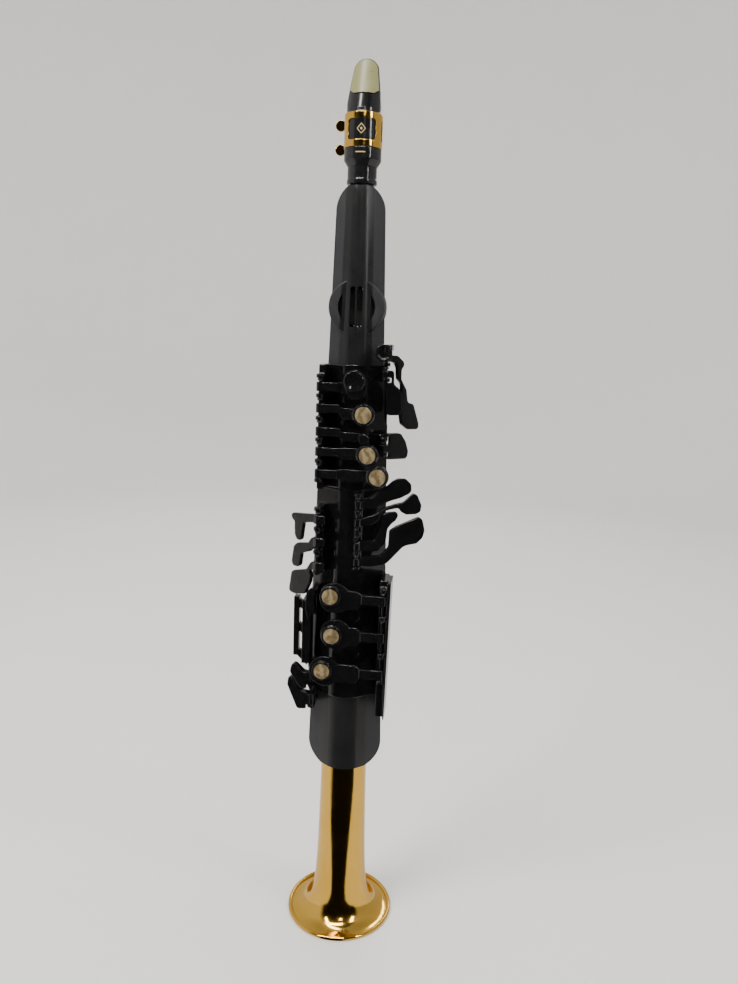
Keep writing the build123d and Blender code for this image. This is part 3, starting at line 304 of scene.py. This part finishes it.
def nacre_surface(tree, place):
    folds = make(tree, "ShaderNodeTexWave", {"Vector": place, "Scale": 42.0, "Distortion": 9.0,
                                             "Detail": 3.0, "Detail Scale": 2.2}, out="Fac")
    clouds = noise(tree, place, 210.0, 3.0, 0.55, 1.4)
    mixture = folds * 0.45 + clouds * 0.55
    colour = make(tree, "ShaderNodeValToRGB", {"Fac": mixture},
                  stops=[(0.22, (0.105, 0.076, 0.034)), (0.48, (0.170, 0.128, 0.064)),
                         (0.68, (0.225, 0.175, 0.094)), (0.88, (0.31, 0.25, 0.15))])
    return {"Base Color": colour, "Roughness": spread(tree, clouds, 0.3, 0.7, 0.14, 0.26),
            "Normal": bump(tree, mixture, 0.00005, 0.3)}


def olive_surface(tree, place):
    clouds = noise(tree, place, 120.0, 4.0, 0.6, 0.4)
    grain = noise(tree, place, 2600.0, 2.0)
    return {"Base Color": blend_colours(tree, clouds, (0.205, 0.200, 0.078), (0.275, 0.265, 0.120)),
            "Roughness": spread(tree, clouds, 0.3, 0.7, 0.26, 0.38),
            "Normal": bump(tree, grain, 0.00002, 0.4)}


resin_black = finish("turned_black_resin", resin_surface, Coat_Roughness=0.05)
pearl = finish("brown_nacre", nacre_surface, Coat_Weight=0.7, Coat_Roughness=0.04)
olive_pad = finish("olive_tooth_pad", olive_surface, Coat_Roughness=0.1)
print("finishes:", resin_black.name, pearl.name, olive_pad.name)

# %% [markdown]
# ### Steel, cork and reed
# The casing's screws are drawn steel, with a grain along Z. The springs are steel wire blued by
# heat, which leaves a dark blue-grey that shifts a little along the wire. Cork is small darker
# cells in a light ground. A resin reed copies cane's fibres.

# %% Steel, cork, reed
def steel_surface(tree, place):
    lines = noise(tree, stretched(tree, place, 1.0, 1.0, 0.03), 4200.0, 2.0, 0.6)
    clouds = noise(tree, place, 90.0, 3.0)
    return {"Base Color": blend_colours(tree, clouds, (0.50, 0.50, 0.51), (0.62, 0.62, 0.63)),
            "Roughness": spread(tree, lines, 0.2, 0.8, 0.16, 0.36),
            "Normal": bump(tree, lines, 0.00001, 0.5)}


def cork_surface(tree, place):
    cells = make(tree, "ShaderNodeTexVoronoi", {"Vector": place, "Scale": 900.0}, feature="F1")
    pores = spread(tree, noise(tree, place, 420.0, 3.0, 0.7), 0.58, 0.68, 0.0, 1.0)
    lit = spread(tree, cells, 0.1, 0.8, 0.0, 1.0)
    ground = blend_colours(tree, lit, (0.47, 0.29, 0.15), (0.62, 0.42, 0.24))
    return {"Base Color": blend_colours(tree, pores, ground, (0.16, 0.08, 0.035)),
            "Roughness": spread(tree, cells, 0.0, 0.8, 0.62, 0.8),
            "Normal": bump(tree, cells - pores * 0.8, 0.0001, 0.6)}


def reed_surface(tree, place):
    fibres = noise(tree, stretched(tree, place, 1.0, 1.0, 0.02), 2600.0, 3.0, 0.65)
    lit = spread(tree, fibres, 0.3, 0.7, 0.0, 1.0)
    return {"Base Color": blend_colours(tree, lit, (0.50, 0.37, 0.19), (0.66, 0.53, 0.31)),
            "Roughness": spread(tree, fibres, 0.3, 0.7, 0.38, 0.5),
            "Normal": bump(tree, fibres, 0.00003, 0.5)}


def blued_surface(tree, place):
    heat = noise(tree, place, 320.0, 3.0)
    lines = noise(tree, stretched(tree, place, 1.0, 1.0, 8.0), 1800.0, 2.0)
    return {"Base Color": blend_colours(tree, heat, (0.045, 0.050, 0.075), (0.10, 0.105, 0.135)),
            "Roughness": spread(tree, lines, 0.2, 0.8, 0.20, 0.36)}


steel = finish("drawn_steel", steel_surface, Metallic=1.0)
blued_steel = finish("blued_spring_steel", blued_surface, Metallic=1.0)
cork = finish("pressed_cork", cork_surface)
reed_resin = finish("straw_reed_resin", reed_surface)
print("finishes:", steel.name, blued_steel.name, cork.name, reed_resin.name)

# %% [markdown]
# ### The inner parts and the window
# The board, cells and speaker are seen only through slots or with the cover off, and still get
# their own patterns: bricks stand for the board's tracks, a stripe marks each cell's sleeve, and
# the paper cone has a fine nap. The window is smoked and almost mirror-smooth.

# %% Board, cells, speaker and window
cell_pitch = 0.0455  # from one cell's foot to the next one's


def board_surface(tree, place):
    tracks = make(tree, "ShaderNodeTexBrick",
                  {"Vector": place, "Scale": 260.0, "Mortar Size": 0.06,
                   "Color1": (0.01, 0.12, 0.05, 1), "Color2": (0.012, 0.15, 0.06, 1),
                   "Mortar": (0.03, 0.26, 0.11, 1)}, out="Color")
    dust = noise(tree, place, 300.0, 3.0)
    return {"Base Color": tracks, "Roughness": spread(tree, dust, 0.3, 0.7, 0.22, 0.38)}


def sleeve_surface(tree, place):
    stripe = (axis_of(tree, place, "Z") * (1 / cell_pitch) - 0.1).math("FRACT")
    clouds = noise(tree, place, 200.0, 3.0)
    colour = blend_colours(tree, stripe > 0.72, (0.05, 0.055, 0.065), (0.55, 0.42, 0.20))
    return {"Base Color": colour, "Roughness": spread(tree, clouds, 0.3, 0.7, 0.22, 0.34)}


def driver_surface(tree, place):
    fine = noise(tree, place, 2200.0, 2.0)
    return {"Base Color": blend_colours(tree, fine, (0.010, 0.010, 0.011), (0.022, 0.022, 0.023)),
            "Roughness": spread(tree, fine, 0.2, 0.8, 0.55, 0.75),
            "Normal": bump(tree, fine, 0.00008, 0.6)}


def window_surface(tree, place):
    haze = noise(tree, place, 140.0, 4.0, 0.6, 0.5)
    return {"Base Color": blend_colours(tree, haze, (0.008, 0.010, 0.012), (0.014, 0.016, 0.019)),
            "Roughness": spread(tree, haze, 0.3, 0.7, 0.03, 0.09)}


circuit_green = finish("green_board", board_surface)
battery_sleeve = finish("cell_sleeve", sleeve_surface, Metallic=0.6)
driver_black = finish("black_speaker_cone", driver_surface)
window_glass = finish("smoked_window", window_surface)
print("finishes made:", len(bpy.data.materials))

# %% [markdown]
# ## Moulded pieces from the mechanical model
# A node of the mechanical model has knife-sharp edges, and no moulding has those: what sells a
# glossy black part is the thin line of light along a rounded edge. Each visible piece is a copy of
# its node, merged, rebuilt on a fine voxel grid, and smoothed a few steps, which rounds every edge
# and hollow alike and leaves broad faces flat. A decimation then clears away faces that flat areas
# don't need. The hinge bores and seats stay where they are, because the smoothing is far smaller
# than they are.

# %% Bodies, slots and finishes of the nodes
body_of_node = {node: body for body, nodes in frame["record"]["behaviour"]["bodies"].items()
                for node in nodes}
slot_of_node = {part["node"]: part["material_slot"] for part in frame["record"]["subparts"]}
finishes = {"matte_black": matte_black, "gloss_black": gloss_black, "gold_lacquer": gold_lacquer,
            "resin_black": resin_black, "pearl": pearl, "khaki_patch": olive_pad,
            "reed_resin": reed_resin, "cork": cork, "steel": steel, "blued_steel": blued_steel,
            "driver_black": driver_black, "circuit_green": circuit_green,
            "battery_sleeve": battery_sleeve, "window_glass": window_glass}


# %% Make a rounded copy of a node
weld_distance, sliver_length = 2e-6, 1e-6
kept_faces = 0.4  # the share of a remeshed piece's faces that its decimation keeps
flat_angle, bevel_angle, shading_angle = radians(0.6), radians(32.0), radians(30.0)


def link(name, mesh):
    """Put a mesh in the scene as a piece."""
    piece = bpy.data.objects.new(name, mesh)
    scene.collection.objects.link(piece)
    return piece


def merged_copy(node):
    """A copy of a node's mesh with its loose triangles joined."""
    mesh = frame["nodes"][node].data.copy()
    work = bmesh.new()
    work.from_mesh(mesh)
    bmesh.ops.remove_doubles(work, verts=work.verts, dist=weld_distance)
    bmesh.ops.dissolve_degenerate(work, dist=sliver_length, edges=work.edges)
    work.to_mesh(mesh)
    work.free()
    return mesh


def applied(piece):
    """Turn a piece with modifiers into a plain mesh."""
    solved = piece.evaluated_get(bpy.context.evaluated_depsgraph_get())
    plain = bpy.data.meshes.new_from_object(solved)
    piece.modifiers.clear()
    piece.data = plain
    return piece


def dress(piece, node):
    """Give a piece its node's finish, body and slot, and let it stand for the node."""
    piece.data.materials.clear()
    piece.data.materials.append(finishes[slot_of_node[node]])
    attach(piece, body_of_node[node])
    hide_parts(node)


def shade_by_angle(mesh):
    """Shade a mesh smoothly, but for its sharp edges."""
    mesh.shade_smooth()
    mesh.set_sharp_from_angle(angle=shading_angle)


def moulded(node, voxel, steps):
    """Rebuild a node on a grid of voxels, in millimetres, and smooth it a number of steps."""
    piece = link(node + "_moulded", merged_copy(node))
    grid = piece.modifiers.new("grid", "REMESH")
    grid.mode, grid.voxel_size, grid.use_smooth_shade = "VOXEL", voxel * mm, True
    ease = piece.modifiers.new("ease", "SMOOTH")
    ease.factor, ease.iterations = 0.5, steps
    thin = piece.modifiers.new("thin", "DECIMATE")
    thin.ratio = kept_faces
    applied(piece)
    piece.data.shade_smooth()
    dress(piece, node)


def bevelled(node, width):
    """Round a node's real edges with a bevel of a width in millimetres, for large plain shells."""
    mesh = merged_copy(node)
    work = bmesh.new()
    work.from_mesh(mesh)
    bmesh.ops.dissolve_limit(work, angle_limit=flat_angle, verts=work.verts, edges=work.edges)
    work.to_mesh(mesh)
    work.free()
    piece = link(node + "_shell", mesh)
    edge = piece.modifiers.new("edge", "BEVEL")
    edge.width, edge.segments = width * mm, 3
    edge.limit_method, edge.angle_limit = "ANGLE", bevel_angle
    edge.use_clamp_overlap = True
    applied(piece)
    shade_by_angle(piece.data)
    dress(piece, node)


print("moulded keeps", kept_faces, "of the faces")

# %% [markdown]
# ### Keys
# Touches for the palms and little fingers are pillowy, so they are smoothed longest. The octave
# key lies close to its stand and is only bevelled, further down, so that it can still turn.

# %% Keys
key_nodes = sorted(n for n in slot_of_node if n.endswith("_key") and n != "octave_key")
for node in key_nodes:
    pillowy = node.startswith(("palm", "low", "side"))
    moulded(node, 0.3, 22 if pillowy else 14)
print("keys rounded:", len(key_nodes))

# %% [markdown]
# ### Beds, supports and mouthpiece
# Larger pieces take larger voxels, which keeps their face counts down, and thin ones take smaller
# voxels, so that no edge is lost. The ligature's paddles are smoothed longest, which domes them.

# %% Beds, guard, hand supports and mouthpiece
rounding = (("upper_key_bed", 0.5, 4), ("lower_key_bed", 0.55, 4), ("low_key_bracket", 0.35, 5),
            ("thumb_hook", 0.4, 8), ("thumb_rest", 0.35, 6), ("strap_ring", 0.3, 8),
            ("thumb_slider", 0.25, 5), ("mouthpiece", 0.3, 6), ("mouthpiece_patch", 0.2, 5),
            ("reed", 0.25, 4), ("ligature", 0.25, 3), ("ligature_screw_lower", 0.2, 40),
            ("ligature_screw_upper", 0.2, 40))
for node, voxel, steps in rounding:
    moulded(node, voxel, steps)
print("supports and mouthpiece rounded:", len(rounding))

# %% [markdown]
# ### Casing, pearls and small fittings
# The casing is large and mostly flat, so a voxel grid would waste faces on it. Here the flat
# triangles are united, and a bevel rounds the real edges. Round fittings and pearls do well with it
# too. What is already round, or lies inside, keeps its own mesh and takes a finish.

# %% Casing shells, cover, fittings and pearls
bevels = (("casing_front", 0.4), ("casing_rear", 0.4), ("battery_cover", 0.25),
          ("speaker_ring", 0.4), ("neck_tenon", 0.3), ("display_window", 0.2),
          ("power_button", 0.3), ("control_knob", 0.3), ("casing_screws", 0.12),
          ("jack_sockets", 0.15), ("octave_key", 0.3), ("octave_stand", 0.3))
for node, width in bevels:
    bevelled(node, width)
pearl_nodes = [n for n in slot_of_node if n.endswith("_pearl")]
for node in pearl_nodes:
    bevelled(node, 0.3)
print("shells bevelled:", len(bevels), "pearls:", len(pearl_nodes))

# %% Nodes that keep their own mesh
own_mesh = ("bell", "hinge_rods", "neck_cork", "main_board", "battery_cells", "breath_sensor",
            "speaker_driver")
for node in own_mesh:
    keeper = frame["nodes"][node]
    keeper.data.materials.clear()
    keeper.data.materials.append(finishes[slot_of_node[node]])
print("nodes finished as they are:", len(own_mesh))

# %% [markdown]
# ## Coil springs
# Each key is lifted by a small spring of blued wire wound round its rod, between the key's barrel
# and the next post. All of them are the same coil in different places, which is work for Geometry
# Nodes: a spiral is swept with a round wire and set on one point for each spring. The mechanical
# model holds a plain sleeve at every place, so the sleeves give the points.

# %% Find where the springs are
def islands(mesh):
    """The lowest and highest corner of each connected piece of a mesh."""
    work = bmesh.new()
    work.from_mesh(mesh)
    bmesh.ops.remove_doubles(work, verts=work.verts, dist=weld_distance)
    left, boxes = set(work.verts), []
    while left:
        reach, group = [left.pop()], []
        while reach:
            corner = reach.pop()
            group.append(corner.co.copy())
            near = {edge.other_vert(corner) for edge in corner.link_edges} & left
            left -= near
            reach += near
        boxes.append(tuple(Vector(f(p[i] for p in group) for i in range(3)) for f in (min, max)))
    work.free()
    return boxes


spring_boxes = islands(frame["nodes"]["key_springs"].data)
print("springs:", len(spring_boxes))

# %% [markdown]
# ### Winding them
# The tree takes a point for each spring and the coil's sizes as named inputs. A spiral curve is
# swept with a small circle, capped, set on the points, made real and given its material. A
# modifier's inputs go by their sockets' identifiers, which the tree's interface lists.

# %% Helpers for geometry trees
def wired(tree, kind, **inputs):
    """Add a geometry node, feed its inputs, and hand back its first output."""
    node = tree.nodes.new(kind)
    for name, value in inputs.items():
        feed(tree, node.inputs[name.replace("_", " ")], value)
    return Socket(node.outputs[0])


def new_tree(name, **sizes):
    """A geometry tree with a geometry input, named sizes and a material, and its input sockets."""
    tree = bpy.data.node_groups.new(name, "GeometryNodeTree")
    face = tree.interface
    face.new_socket("Geometry", in_out="INPUT", socket_type="NodeSocketGeometry")
    for key, value in sizes.items():
        size = face.new_socket(key.replace("_", " "), in_out="INPUT", socket_type="NodeSocketFloat")
        size.default_value = value
    face.new_socket("Material", in_out="INPUT", socket_type="NodeSocketMaterial")
    face.new_socket("Geometry", in_out="OUTPUT", socket_type="NodeSocketGeometry")
    outputs = tree.nodes.new("NodeGroupInput").outputs
    return tree, {socket.name: Socket(socket) for socket in outputs if socket.name}


def end_tree(tree, given, shapes):
    """Make the instances real, give them their material and send them out."""
    real = wired(tree, "GeometryNodeRealizeInstances", Geometry=shapes)
    painted = wired(tree, "GeometryNodeSetMaterial", Geometry=real, Material=given["Material"])
    tree.links.new(painted.socket, tree.nodes.new("NodeGroupOutput").inputs[0])


def grown(name, points, tree, **values):
    """Run a geometry tree on a set of points and keep the result as a plain mesh."""
    mesh = bpy.data.meshes.new(name)
    mesh.from_pydata(points, [], [])
    piece = link(name, mesh)
    nodes = piece.modifiers.new("nodes", "NODES")
    nodes.node_group = tree
    for item in tree.interface.items_tree:
        key = item.name.replace(" ", "_")
        if item.in_out == "INPUT" and key in values:
            nodes[item.identifier] = values[key]
    return applied(piece)


print("geometry helpers ready")

# %% Wind the springs
coil_sizes = {"Coil_Radius": 0.0019, "Wire_Radius": 0.00024, "Turns": 3.5, "Height": 0.0017}
coil_tree, given = new_tree("coiled_springs", **coil_sizes)
spiral = wired(coil_tree, "GeometryNodeCurveSpiral", Resolution=14, Rotations=given["Turns"],
               Start_Radius=given["Coil Radius"], End_Radius=given["Coil Radius"],
               Height=given["Height"])
wire = wired(coil_tree, "GeometryNodeCurvePrimitiveCircle", Resolution=7,
             Radius=given["Wire Radius"])
coil = wired(coil_tree, "GeometryNodeCurveToMesh", Curve=spiral, Profile_Curve=wire, Fill_Caps=True)
smooth = wired(coil_tree, "GeometryNodeSetShadeSmooth", Geometry=coil)
placed = wired(coil_tree, "GeometryNodeInstanceOnPoints", Points=given["Geometry"], Instance=smooth)
end_tree(coil_tree, given, placed)

coil_lift = 0.00025  # just over the wire's radius
coil_feet = [((low.x + high.x) / 2, (low.y + high.y) / 2, low.z + coil_lift)
             for low, high in spring_boxes]
springs = grown("coil_springs", coil_feet, coil_tree, Material=blued_steel, **coil_sizes)
dress(springs, "key_springs")
print("spring faces:", len(springs.data.polygons))

# %% [markdown]
# ## Marks on the mouthpiece
# A small gilt lozenge is inlaid in the window of the ligature, and a thin gilt line lies under it.
# Both follow the round body, so each is drawn flat and then wrapped: a point's distance to the side
# becomes an angle round the axis. A wall gives them their thickness.

# %% Gilt ink
def ink_surface(tree, place):
    wear = noise(tree, place, 900.0, 3.0, 0.6)
    worn = spread(tree, wear, 0.35, 0.7, 0.0, 1.0)
    return {"Base Color": blend_colours(tree, worn, (0.62, 0.50, 0.25), (0.42, 0.32, 0.13)),
            "Roughness": spread(tree, wear, 0.3, 0.7, 0.34, 0.5)}


gilt_ink = finish("gilt_ink", ink_surface)
print("finish:", gilt_ink.name)

# %% Gilt inlays
inlay_rise, inlay_root = 0.18, 0.3  # how far an inlay stands out of the body and reaches into it
side_steps = 6  # points along each side, so that it bends round the body


def scaled(corners, factor):
    return [(x * factor, z * factor) for x, z in corners]


def wrapped_ring(corners, height, radius, reach):
    """Points along an outline wrapped on a cylinder, given in millimetres."""
    points = []
    for (x0, z0), (x1, z1) in zip(corners, corners[1:] + corners[:1]):
        for t in range(side_steps):
            x, z = x0 + (x1 - x0) * t / side_steps, z0 + (z1 - z0) * t / side_steps
            turn = x / radius
            points.append((reach * sin(turn) * mm, -reach * cos(turn) * mm, (height + z) * mm))
    return points


def inlay(name, outer, inner, height, radius):
    """A plate between two outlines, wrapped round the mouthpiece's front, with a wall all round."""
    top, root = radius + inlay_rise, radius - inlay_root
    loops = [wrapped_ring(corners, height, radius, reach)
             for corners, reach in ((outer, top), (inner, top), (inner, root), (outer, root))]
    count = len(loops[0])
    faces = []
    for k in range(4):
        a, b = k * count, (k + 1) % 4 * count
        faces += [(a + t, a + (t + 1) % count, b + (t + 1) % count, b + t) for t in range(count)]
    mesh = bpy.data.meshes.new(name)
    mesh.from_pydata([p for loop in loops for p in loop], [], faces)
    work = bmesh.new()
    work.from_mesh(mesh)
    bmesh.ops.recalc_face_normals(work, faces=work.faces)
    work.to_mesh(mesh)
    work.free()
    piece = link(name, mesh)
    shade_by_angle(mesh)
    mesh.materials.append(gilt_ink)
    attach(piece, "mouthpiece_set")


lozenge = [(0.0, -3.7), (3.3, 0.0), (0.0, 3.7), (-3.3, 0.0)]
heart = scaled(lozenge, 0.30)
line = [(-3.6, -0.35), (3.6, -0.35), (3.6, 0.35), (-3.6, 0.35)]
window_radius, shoulder_radius, line_drop, pinhole = 13.3, 13.8, 4.2, 0.02
low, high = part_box("ligature")
window_middle = (low[2] + high[2]) / 2 / mm
inlay("gilt_lozenge", lozenge, scaled(lozenge, 0.80), window_middle, window_radius)
inlay("gilt_lozenge_heart", heart, scaled(heart, pinhole), window_middle, window_radius)
inlay("gilt_line", line, scaled(line, pinhole), low[2] / mm - line_drop, shoulder_radius)
print("inlays made at", round(window_middle, 1), "mm")

# %% [markdown]
# ## Floor and light
# The instrument stands in a wide pale bowl: a flat floor whose edge curves up all round, so that no
# horizon shows from any side. Large soft lamps and a pale sky light it. Polished things show what
# is around them more than they show themselves, so reflections get a room of their own: a shell
# that only glossy rays see, dark behind the viewer and overhead, and pale at the sides and the
# back. It draws the dark core down the bell and keeps the black keys black, with a bright line
# where an edge turns to the side. Narrow lamps, also for gloss only, add the small sharp lights.

# %% Floor
def pale_surface(tree, place):
    weave = noise(tree, place, 8.0, 4.0)
    return {"Base Color": blend_colours(tree, weave, (0.80, 0.785, 0.755), (0.83, 0.815, 0.785)),
            "Roughness": spread(tree, weave, 0.3, 0.7, 0.75, 0.85)}


bowl_steps, bend_steps = 64, 8
flat_reach, bend = 1.9, 0.7  # where the floor starts to rise, and the radius of the bend
bend_turns = [t * pi / 2 / bend_steps for t in range(1, bend_steps + 1)]
profile = [(1.2, 0.0), (flat_reach, 0.0)]
profile += [(flat_reach + bend * sin(turn), bend - bend * cos(turn)) for turn in bend_turns]
profile.append((flat_reach + bend, 1.9))
bowl_turns = [t * 2 * pi / bowl_steps for t in range(bowl_steps)]
bowl = bmesh.new()
rings = [[bowl.verts.new((radius * cos(turn), radius * sin(turn), height)) for turn in bowl_turns]
         for radius, height in profile]
centre = bowl.verts.new((0, 0, 0))
for t in range(bowl_steps):
    after = (t + 1) % bowl_steps
    bowl.faces.new((centre, rings[0][t], rings[0][after]))
    for low, high in zip(rings, rings[1:]):
        bowl.faces.new((low[t], high[t], high[after], low[after]))
floor_mesh = bpy.data.meshes.new("floor")
bowl.to_mesh(floor_mesh)
bowl.free()
floor_mesh.shade_smooth()
floor = link("floor", floor_mesh)
floor.data.materials.append(finish("pale_floor", pale_surface))
floor.visible_glossy = False
print("floor faces:", len(floor_mesh.polygons))

# %% [markdown]
# ### The room that reflections see
# The shell's brightness depends on the way from the middle: dark within about sixty degrees of the
# viewer's side, pale beyond, a little brighter at the left, and dimmer high up. A ground lies in it
# too, since a tube seen from above mirrors what lies before its foot. That ground is missing in a
# wedge that opens away from the bell, so the dark core narrows towards the flare.

# %% A room for the reflections
def only_glossy(thing):
    """Let only glossy rays see a piece of the stage."""
    thing.visible_camera = thing.visible_diffuse = thing.visible_shadow = False
    thing.visible_transmission = thing.visible_volume_scatter = False


room_material = bpy.data.materials.new("reflected_room")
room_material.use_nodes = True
tree = room_material.node_tree
tree.nodes.clear()
place = make(tree, "ShaderNodeTexCoord", out="Object")
x, y, z = (axis_of(tree, place, axis) for axis in "XYZ")
flat = (x * x + y * y + 0.01) ** 0.5
ahead_part = -(y * 0.99 - x * 0.12) / flat  # 1 towards the viewer, -1 straight behind
sides = spread(tree, ahead_part, 0.42, 0.58, 1.0, 0.0)
ceiling = spread(tree, z, 2.15, 2.75, 0.0, 1.0)
level = sides * (0.62 - x * 0.06) * (1 - ceiling * 0.35) + 0.008
glow = make(tree, "ShaderNodeEmission", {"Color": (1.0, 0.97, 0.92, 1.0), "Strength": level})
tree.links.new(glow.socket, tree.nodes.new("ShaderNodeOutputMaterial").inputs[0])
room_material.cycles.emission_sampling = "NONE"

room_radius = 3.0
shell = bmesh.new()
bmesh.ops.create_uvsphere(shell, u_segments=48, v_segments=24, radius=room_radius)
room_mesh = bpy.data.meshes.new("room")
shell.to_mesh(room_mesh)
shell.free()
room_mesh.materials.append(room_material)
only_glossy(link("reflected_room", room_mesh))
print("room radius:", room_radius, "m")

# %% Pale ground for the reflections
def ground_surface(tree, place):
    folds = noise(tree, place, 30.0, 3.0)
    return {"Base Color": blend_colours(tree, folds, (0.52, 0.50, 0.47), (0.62, 0.60, 0.57)),
            "Roughness": folds * 0.1 + 0.8}


ground_reach, ground_rise = 2.5, 0.0004
# Reach in metres and turn in degrees from the viewer's side, along one edge of the dark wedge.
wedge = [(0.045, 12), (0.08, 24), (0.12, 36), (0.17, 48), (0.24, 60), (0.9, 62), (ground_reach, 62)]
wedge += [(ground_reach, turn) for turn in range(80, 181, 20)]
edge = [(reach * sin(radians(turn)), -reach * cos(radians(turn)), ground_rise)
        for reach, turn in wedge]
edge += [(-x, y, z) for x, y, z in reversed(edge[:-1])]
fan = [(0, k + 1, (k + 1) % len(edge) + 1) for k in range(len(edge))]
ground_mesh = bpy.data.meshes.new("reflected_ground")
ground_mesh.from_pydata([(0.0, 0.03, ground_rise), *edge], [], fan)
ground_mesh.materials.append(finish("pale_ground", ground_surface))
only_glossy(link("reflected_ground", ground_mesh))
print("ground corners:", len(edge))

# %% [markdown]
# ### Lamps and sky
# Wide lamps light the plain surfaces softly and are hidden from glossy rays. Narrow tubes are seen
# by glossy rays alone: they draw thin lights on rounded edges, a streak on the beak, and sparks on
# the flare. The sky fills the shadows evenly.

# %% Lamps
def lamp(name, place, target, size, power, tint=(1.0, 1.0, 1.0), gloss_only=False):
    """A rectangular lamp at a place, turned to a target. Sizes are metres and power is watts."""
    data = bpy.data.lights.new(name, "AREA")
    data.shape, data.size, data.size_y = "RECTANGLE", *size
    data.energy, data.color = power, tint
    lit = bpy.data.objects.new(name, data)
    scene.collection.objects.link(lit)
    lit.location = place
    lit.rotation_euler = (Vector(target) - Vector(place)).to_track_quat("-Z", "Y").to_euler()
    lit.visible_diffuse, lit.visible_glossy = not gloss_only, gloss_only


def tube(name, place, target, size, power, tint):
    lamp(name, place, target, size, power, tint, gloss_only=True)


warm, plain = (1.0, 0.98, 0.94), (1.0, 0.99, 0.97)
lamp("key_light", (-1.15, -1.0, 1.7), (0, 0, 0.35), (0.9, 0.9), 36.0, (1.0, 0.985, 0.96))
lamp("side_light", (1.35, -0.55, 1.15), (0, 0, 0.35), (0.5, 1.2), 9.0, (0.96, 0.98, 1.0))
lamp("top_light", (0.1, 0.1, 2.1), (0, 0, 0.3), (0.7, 0.7), 12.0)
lamp("back_light", (-0.4, 1.6, 1.4), (0, 0, 0.35), (0.9, 0.9), 9.0)
tube("left_tube", (-0.95, -1.3, 1.75), (0, 0, 0.4), (0.10, 0.9), 16.0, warm)
tube("ceiling_tube", (-0.1, -0.95, 2.0), (0, 0, 0.3), (0.9, 0.07), 22.0, warm)
tube("overhead_tube", (-0.33, -0.35, 2.15), (0, 0, 0.5), (0.12, 1.3), 16.0, plain)
tube("front_tube", (0.35, -1.5, 1.25), (0, 0, 0.3), (0.05, 0.3), 2.4, (1.0, 0.93, 0.82))
tube("right_tube", (1.15, -0.85, 1.3), (0, 0, 0.4), (0.08, 0.8), 10.0, plain)
tube("back_tube", (0.5, 1.5, 1.5), (0, 0, 0.4), (0.12, 0.9), 4.0, plain)
print("lamps:", len(bpy.data.lights))

# %% Sky
world = bpy.data.worlds.new("studio")
scene.world = world
world.use_nodes = True
sky = world.node_tree.nodes["Background"]
sky.inputs["Color"].default_value = (0.95, 0.955, 0.96, 1.0)
sky.inputs["Strength"].default_value = 0.80
world.cycles_visibility.glossy = False
print("sky strength:", round(sky.inputs["Strength"].default_value, 2))
